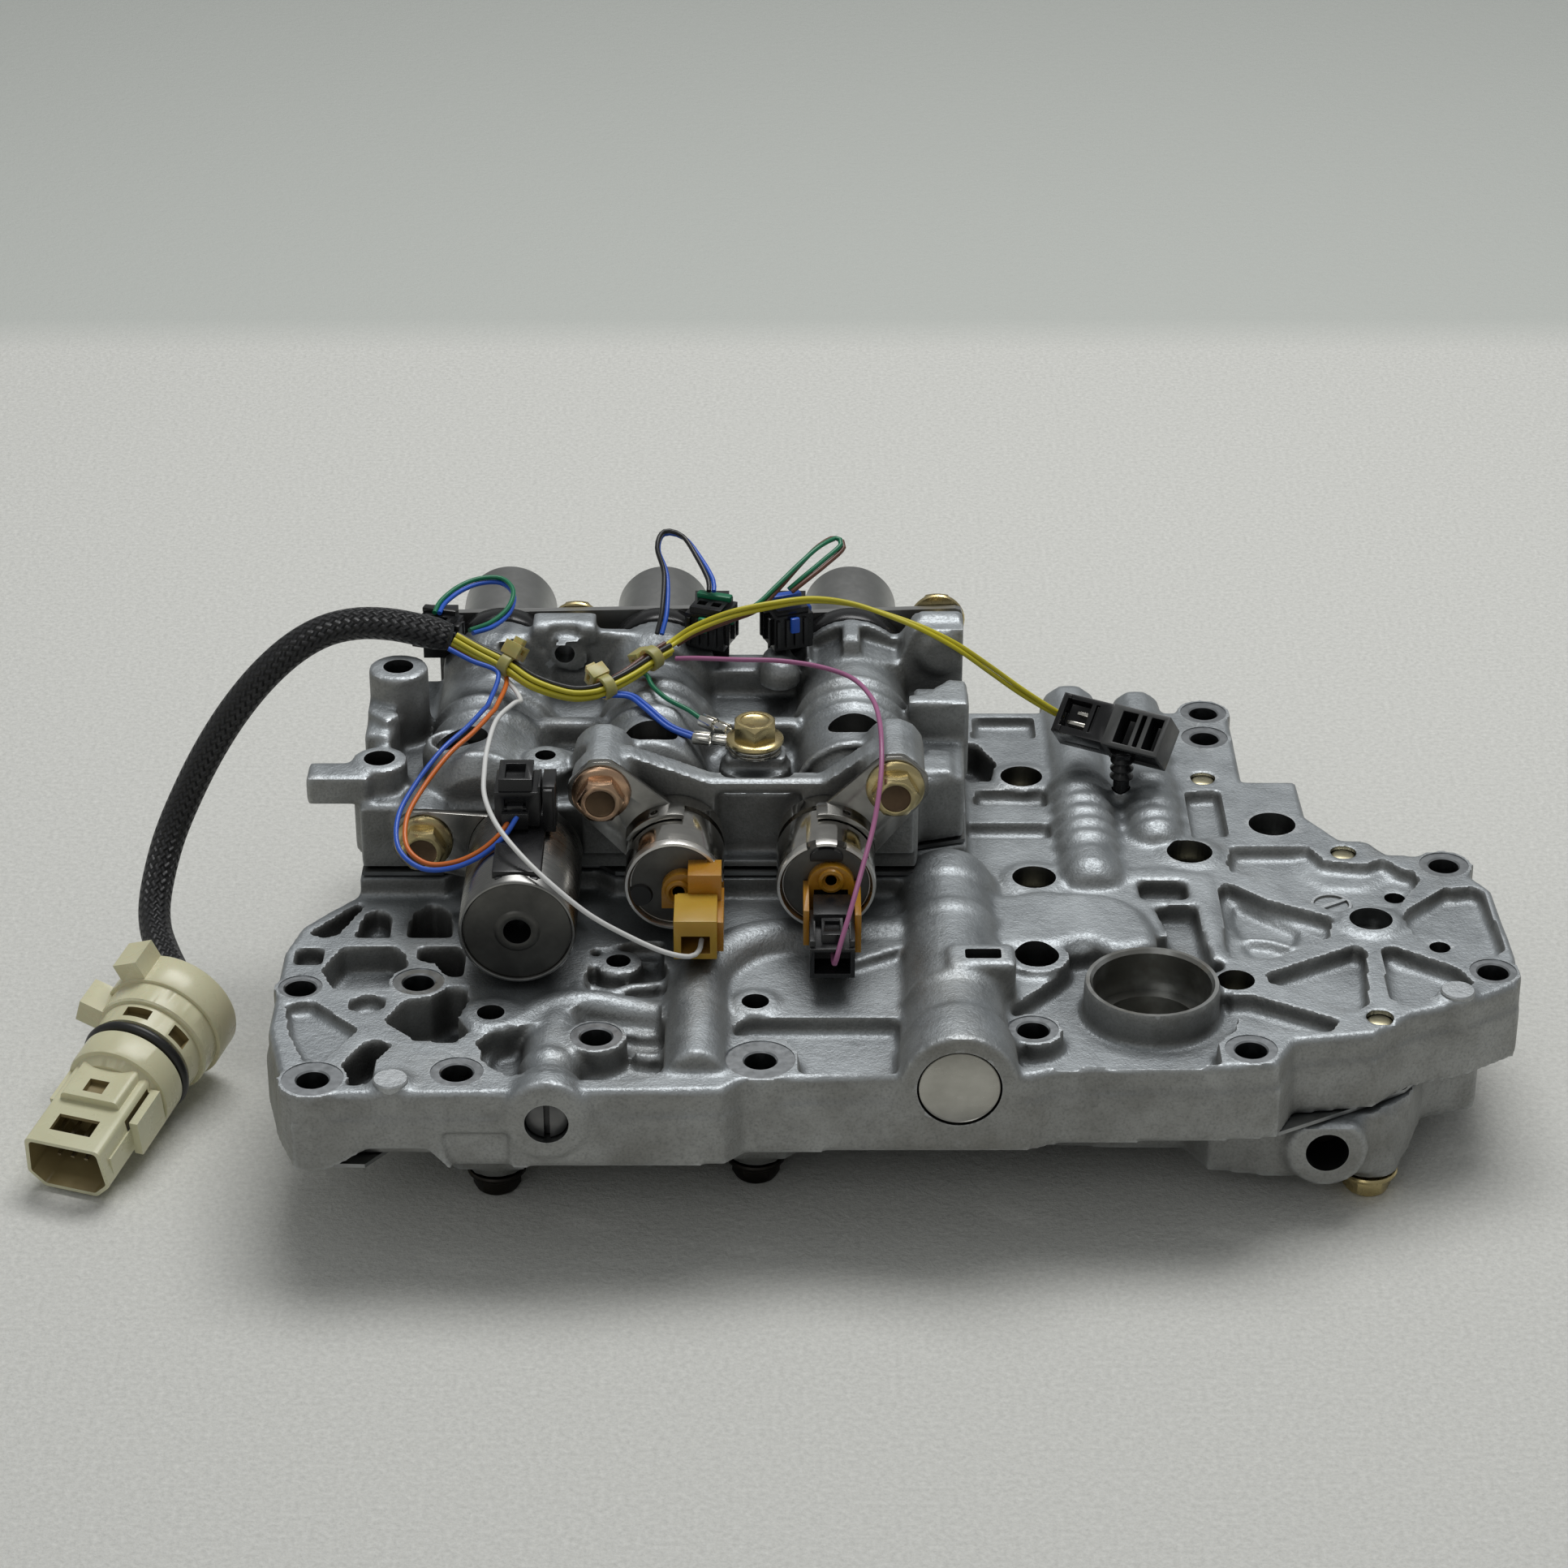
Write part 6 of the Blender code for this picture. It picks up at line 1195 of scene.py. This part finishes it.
LOOP_ROUTES = (
    ((-89.0, 152.0, 94.9), (-87.8, 157.0, 95.6), (-84.0, 163.0, 96.4), (-79.0, 167.0, 96.8), (-73.4, 167.6, 96.6),
     (-70.0, 162.6, 95.6), (-70.8, 155.6, 94.0), (-74.6, 148.6, 93.4), (-79.6, 142.6, 94.2)),
    ((-31.8, 144.6, 92.6), (-30.6, 150.0, 96.5), (-30.5, 160.0, 102.0), (-32.6, 166.0, 106.5),
     (-31.0, 170.4, 109.0),
     (-26.0, 169.0, 108.4), (-21.6, 161.6, 105.4), (-18.8, 155.4, 102.6), (-18.6, 152.2, 101.0)),
    ((-27.4, 141.8, 91.2), (-22.5, 142.6, 94.2), (-13.6, 142.8, 98.0), (-7.0, 144.4, 100.2), (-1.5, 150.0, 103.3),
     (4.0, 157.0, 106.3), (9.0, 163.0, 108.6), (13.4, 167.2, 109.0), (15.0, 164.4, 108.0), (10.4, 159.2, 105.8),
     (5.4, 154.8, 103.4), (1.6, 152.2, 101.2)),
)
TIE_KNOTS = (2, 6, 8)


def wire(name, route, colour, nodes=(), offset=(0.0, 0.0), lay=0.0, radius=0.62):
    piece(name, [tube(route, radius, 1.5, 14, offset, lay)], WIRES[colour], nodes, angle=60)


def wiring():
    """Every wire on its own: the bundle, the pairs and the singles."""
    bundle = (("yellow", 0.25, -1.45), ("yellow", 1.4, -0.55), ("yellow", 1.35, 0.75), ("black", -1.05, -1.0),
              ("brown", -1.1, 0.9), ("blue", 0.3, 1.45), ("green", 0.0, 0.0))
    for i, (colour, a, b) in enumerate(bundle, 1):
        wire(f"bundle_{i}", TRUNK_ROUTE, colour, ("loom_trunk",) if i == 1 else (), (a, b), 260.0, 0.66)
    lead = TRUNK_ROUTE[:3]
    wire("pressure_wire_1", carried(lead, 2.5, 1.2) + list(PRESSURE_ROUTE[1:]), "blue", ("wire_pair_pressure",),
         (1.05, 0.0))
    wire("pressure_wire_2", carried(lead, 1.6, 2.6) + list(PRESSURE_ROUTE[1:]), "orange", (), (-1.05, 0.0))
    wire("shift_d_wire", carried(TRUNK_ROUTE[1:4], 1.0, 3.0)[:2] + list(SHIFT_D_ROUTE), "white", ("wire_shift_d",))
    wire("shift_e_wire", SHIFT_E_ROUTE, "purple", ("wire_shift_e",))
    for i, a in enumerate((-0.64, 0.64), 1):
        wire(f"sensor_wire_{i}", ((-31.0, 137.2, 91.6),) + SENSOR_ROUTE, "yellow", ("wire_pair_sensor",), (a, 0.0),
             150.0)
        wire(f"ground_pair_{i}", GROUND_PAIR_ROUTE, "blue", ("wire_pair_ground",), (a, 0.0))
    wire("ground_wire", GROUND_ROUTE, "green", ("wire_ground",))
    for name, route, pair in zip("abc", LOOP_ROUTES, (("green", "blue"), ("black", "blue"), ("green", "brown"))):
        for i, (colour, a) in enumerate(zip(pair, (-0.64, 0.64)), 1):
            wire(f"loop_{name}_{i}", route, colour, (f"wire_loop_{name}",), (a, 0.0), 110.0)


def ties():
    """Nylon ties round the bundle, each with its ratchet head and cut tail."""
    for i, knot in enumerate(TIE_KNOTS, 1):
        along = Vector(TRUNK_ROUTE[knot + 1]) - Vector(TRUNK_ROUTE[knot - 1])
        lean = Vector((0, 0, 1)).rotation_difference(along).to_matrix().to_4x4()
        turn = Matrix.Translation(TRUNK_ROUTE[knot]) @ lean @ Matrix.Rotation(radians((20, 60, 25)[i - 1]), 4, "Z")
        band = [(-1.5, 2.85), (-1.3, 3.1), (1.3, 3.1), (1.5, 2.85)]
        shapes = [lathe(band, 40), block(-2.5, 2.7, 2.4, 6.0, -2.4, 2.4), block(-1.0, 1.3, 5.6, 7.6, -1.3, 1.3)]
        cuts = [placed(s, turn) for s in (lathe([(-5, 2.1), (5, 2.1)], 40), block(-1.2, 1.4, 3.9, 5.1, -4, 4))]
        piece(f"tie_{i}", [placed(s, turn) for s in shapes], TIE, (f"cable_tie_{i}",), bevel=0.3, cuts=cuts)


def sensor_plug():
    """The speed-sensor plug: a black shell with an open contact bay in a grey slotted holder on a barbed stem."""
    centre = Vector((85.4, 143.0, 65.4))
    turn = Matrix.Translation(centre) @ Matrix.Rotation(radians(-29), 4, "Z") @ Matrix.Rotation(radians(42), 4, "X")
    shell = [block(-15, -0.6, -5.4, 5.6, -4.6, 4.6), block(-14.2, -12.6, -5.0, 5.2, 4, 5.0)]
    bays = [block(-13.4, -6.6, -3.4, 4.2, 0.6, 8), block(-5.4, -4.4, -3.6, 4.2, 3.4, 8),
            block(-16, -13, -1.2, 1.6, 0.8, 3.4),
            block(-12.6, -3, -7, -5.0, -1.8, -1.2)]
    piece("sensor_plug_shell", [placed(s, turn) for s in shell], BLACK, ("sensor_plug",), bevel=0.35,
          cuts=[placed(s, turn) for s in bays])
    pins = [block(-12.4, -7.4, -1.9, -0.9, 0.4, 2.6), block(-10.6, -7.6, 1.2, 2.2, 0.4, 2.4)]
    piece("sensor_contacts", [placed(s, turn) for s in pins], TIN, bevel=0.15)
    holder = [block(-0.8, 15, -5.8, 5.8, -4.8, 4.8)]
    slots = [block(2.2, 6.4, -4.4, 4.4, -2, 8), block(7.6, 8.8, -4.4, 4.4, -2, 8),
             block(10.2, 13.6, -4.4, 4.4, -2, 8),
             block(1.0, 14, -8, -5.2, -3.4, 3.2)]
    piece("sensor_holder", [placed(s, turn) for s in holder], WORN_BLACK, bevel=0.35,
          cuts=[placed(s, turn) for s in slots], cut_material=BLACK)
    profile = [(41, 1.6), (42, 2.1), (54, 2.1)]
    for k in range(4):
        z = 54.2 + 2.3 * k
        profile += [(z, 1.6), (z + 0.05, 3.0), (z + 0.5, 3.1), (z + 1.5, 1.9)]
    profile.append((62.5, 1.9))
    piece("sensor_stem", [stepped(*STEM, profile, 24), block(85.4, 89.0, 136.6, 141.4, 60.2, 62.2)], BLACK,
          bevel=0.15)


# Case connector

def connector():
    """The ivory connector: drum with tabs, barrel with windows and ring groove, and a keyed socket."""
    rear, nose = Vector((-148.4, 92.3, 21.0)), Vector((-171.5, 27.5, 8.7))
    ahead = (nose - rear).normalized()
    side = ahead.cross(Vector((0, 0, 1))).normalized()
    turn = Matrix.Translation(rear) @ Matrix((-side, side.cross(ahead), ahead)).transposed().to_4x4()
    shell = lathe([(8.6, 14.6), (9.2, 15.5), (9.8, 15.8), (18.4, 15.8), (18.8, 15.6), (18.9, 14.8), (24.8, 14.7),
                   (25.3, 14.3),
                   (25.4, 13.5), (31.4, 13.3), (31.49, 13.0), (31.5, 11.5), (35.5, 11.5), (35.51, 13.2), (35.8,
                                                                                                          13.5),
                   (42.6, 13.5), (43.4, 13.2), (43.6, 12.2), (45.6, 10.5)], 96)
    socket = rounded([(-11, -3.5), (-7, -7.5), (7, -7.5), (11, -3.5), (10, 7.5), (-10, 7.5)], 1.8)
    hollow = rounded([(-10.0, -3.2), (-6.6, -6.5), (6.6, -6.5), (10.0, -3.2), (9.0, 6.5), (-9.0, 6.5)], 1.4)
    tabs = [placed(block(-w, w, 13, 20.4, z0, z1), Matrix.Rotation(radians(turned), 4, "Z"))
            for w, z0, z1, turned in ((3.6, 9.4, 18.4, 22), (3.4, 16.4, 25.2, 70))]
    shapes = [shell, slab(socket, 42, 71), block(-12.4, -9.8, -4.5, 4.5, 42, 54),
              block(9.8, 12.8, -5.0, 4.8, 44.6, 57),
              block(-10.9, -9.8, -2, 3, 54, 68), block(9.8, 10.9, -2, 3, 56, 68),
              slab(rounded([(-8.6, 5), (8.6, 5), (7.4, 9.6), (-7.4, 9.6)], 1.4), 43, 56)] + tabs
    cuts = [slab(hollow, 52, 76), block(9.75, 10.6, -6, 6, 45.8, 58), block(-3.4, 3.4, 11, 16.2, 26.6, 29.8),
            placed(block(-2.6, 2.6, 11, 16.2, 26.6, 30.4), Matrix.Rotation(radians(-53), 4, "Z")),
            block(-5.4, 5.4, 6.0, 12, 61, 66.6), block(-2.6, 2.6, 8.0, 12, 49.6, 54)]
    stub = Vector((-151.3, 84.4, 21.1))
    lean = (stub - Vector((-152.3, 89.4, 22.0))).to_track_quat("Z", "Y").to_matrix().to_4x4()
    # Painted shade: the cut faces of the socket, windows and slots take the darker ivory.
    piece("case_connector_shell", [placed(s, turn) for s in shapes], IVORY, ("case_connector",), bevel=0.4,
          cuts=[placed(s, turn) for s in cuts], cut_material=IVORY_PAINTED_SHADE)
    stem = placed(lathe([(-1.2, 4.5), (-0.8, 4.9), (6, 5.2), (7, 5.6)], 40), Matrix.Translation(stub) @ lean)
    pins = [placed(block(x - 0.5, x + 0.5, y - 0.3, y + 0.3, 51.8, 65), turn) for x, y in
            ((-5.4, 3.4), (-1.8, 3.4), (1.8, 3.4), (5.4, 3.4), (-5.4, -2.2), (-1.8, -2.2), (1.8, -2.2),
             (5.4, -2.2))]
    piece("case_connector_stub", [stem], RUBBER)
    piece("case_connector_pins", pins, TIN)
    ring = [Vector((12.75 + 1.35 * cos(a), 0.0,
                    33.5 + 1.35 * sin(a))) for a in [2 * pi * i / 16 for i in range(16)]]
    rings = [[tuple(Matrix.Rotation(2 * pi * i / 96, 4, "Z") @ p) for p in reversed(ring)] for i in range(96)]
    piece("seal_ring_round", [placed(loft(rings, True), turn)], RUBBER, ("seal_ring",), angle=80)
    return [bpy.data.objects[n] for n in ("case_connector_shell", "case_connector_stub", "case_connector_pins",
                                           "seal_ring_round")]


# Plugs, plates and the CAD nodes that stay

def regulator_disc():
    """The bright disc that closes the regulator bore, with a fine groove round it."""
    disc = lathe_y(*REGULATOR, ((5.3, 9.0), (5.05, 9.35), (5.0, 9.4), (5.3, 9.6), (11.2, 9.6)), 96)
    piece("regulator_disc", [disc], DISC, ("regulator_plug",))


def modifier_disc():
    """The slotted plug near the mouth of the modifier bore; the slot's walls are black plastic as painted shade."""
    disc = lathe_y(*MODIFIER, ((-1.4, 4.5), (-1.1, 4.95), (9, 4.95)), 64)
    piece("modifier_plug_slotted", [disc], DARK_PLUG, ("modifier_plug",),
          cuts=[block(-55.2, -53.8, -3, 0.6, 34, 47)], cut_material=BLACK)


def dress_nodes():
    """Materials and finer edges for the CAD nodes that are shown as they are."""
    # Painted shade: the manual valve takes the near-black steel to stand for the shadow in its bore.
    kinds = {"separator_plate": STEEL, "upper_separator_plate": STEEL, "rear_plate_left": PLATE,
             "rear_plate_right": PLATE,
             "regulator_spring": SPRING, "modifier_spring": SPRING, "regulator_valve": DISC, "modifier_valve": DISC,
             "manual_valve": OILED_STEEL_AND_SHADE}
    for name, material in kinds.items():
        node = NODES[name]
        node.data.materials.clear()
        node.data.materials.append(material)
        if "plate" in name:
            step = node.modifiers.new("edges", "BEVEL")
            step.width, step.segments, step.limit_method = 0.0003, 2, "ANGLE"


pressure_solenoid()
pressure_plug()
shift_solenoids()
rear_solenoids()
bracket("bracket_p_stamped", BRACKET_BOLTS[0], PRESSURE_CAN, 11.0, False, "bracket_p")
bracket("bracket_d_stamped", BRACKET_BOLTS[1], SHIFT_D_CAN, 10.4, True, "bracket_d")
bracket("bracket_e_stamped", BRACKET_BOLTS[2], SHIFT_E_CAN, 10.4, True, "bracket_e")
bolts()
terminal("ring_terminal_low", 80.3, (-1.0, 0.22), 15.2, "ring_terminal_1")
terminal("ring_terminal_high", 81.4, (-1.0, 0.8), 16.6, "ring_terminal_2")
wiring()
ties()
sensor_plug()
CONNECTOR_PIECES = connector()
regulator_disc()
modifier_disc()
dress_nodes()


# Stage and light

def floor_material():
    """A pale foam sheet with a fine fibre grain, and a slightly greyer sheet behind it that grows darker further back
    as painted light falloff.
    """
    n = Nodes("foam_sheet")
    split = n.node("ShaderNodeSeparateXYZ")
    n.link(n.place, split.inputs["Vector"])
    behind = n.span(split.outputs["Y"], 0.0, 1.0, 0.462, 0.492)
    grain = n.noise(720, 5, 0.72)
    sheet = n.blend(n.span(grain, 0, 1, 0.35, 0.75), (0.635, 0.635, 0.60), (0.83, 0.83, 0.79))
    # Painted shade: the sheet behind darkens with distance, as light falling off.
    away = n.span(split.outputs["Y"], 0.0, 1.0, 0.48, 1.5)
    n.colour(n.blend(behind, sheet, n.blend(away, (0.575, 0.595, 0.56), (0.50, 0.52, 0.49))))
    n.rough(n.span(grain, 0.5, 0.8))
    n.bump(n.math("ADD", grain, n.noise(260, 3, 0.6)), 0.0008, 0.6)
    return n.set(Metallic=0.0, Specular_IOR_Level=0.35)


def lamp(name, place, aim, size, power):
    data = bpy.data.lights.new(name, "AREA")
    data.shape, data.size, data.size_y, data.energy = "RECTANGLE", size[0], size[1], power
    item = bpy.data.objects.new(name, data)
    item.location = place
    item.rotation_euler = (Vector(aim) - Vector(place)).to_track_quat("-Z", "Y").to_euler()
    bpy.context.scene.collection.objects.link(item)


def stage():
    mesh = bpy.data.meshes.new("bench")
    mesh.from_pydata([(-6, -6, 0), (6, -6, 0), (6, 6, 0), (-6, 6, 0)], [], [(0, 1, 2, 3)])
    bench = linked("bench", mesh)
    mesh.materials.append(floor_material())
    world = bpy.data.worlds.new("room")
    world.use_nodes = True
    world.node_tree.nodes["Background"].inputs["Color"].default_value = (0.80, 0.82, 0.82, 1)
    world.node_tree.nodes["Background"].inputs["Strength"].default_value = 0.31
    bpy.context.scene.world = world
    lamp("overhead", (0.1, 0.42, 1.3), (0, 0.15, 0), (1.0, 0.6), 11.9)
    lamp("front_fill", (-0.5, -1.2, 1.0), (0, 0, 0.03), (0.7, 0.5), 1.5)


stage()
bpy.context.scene.view_settings.view_transform = "Standard"
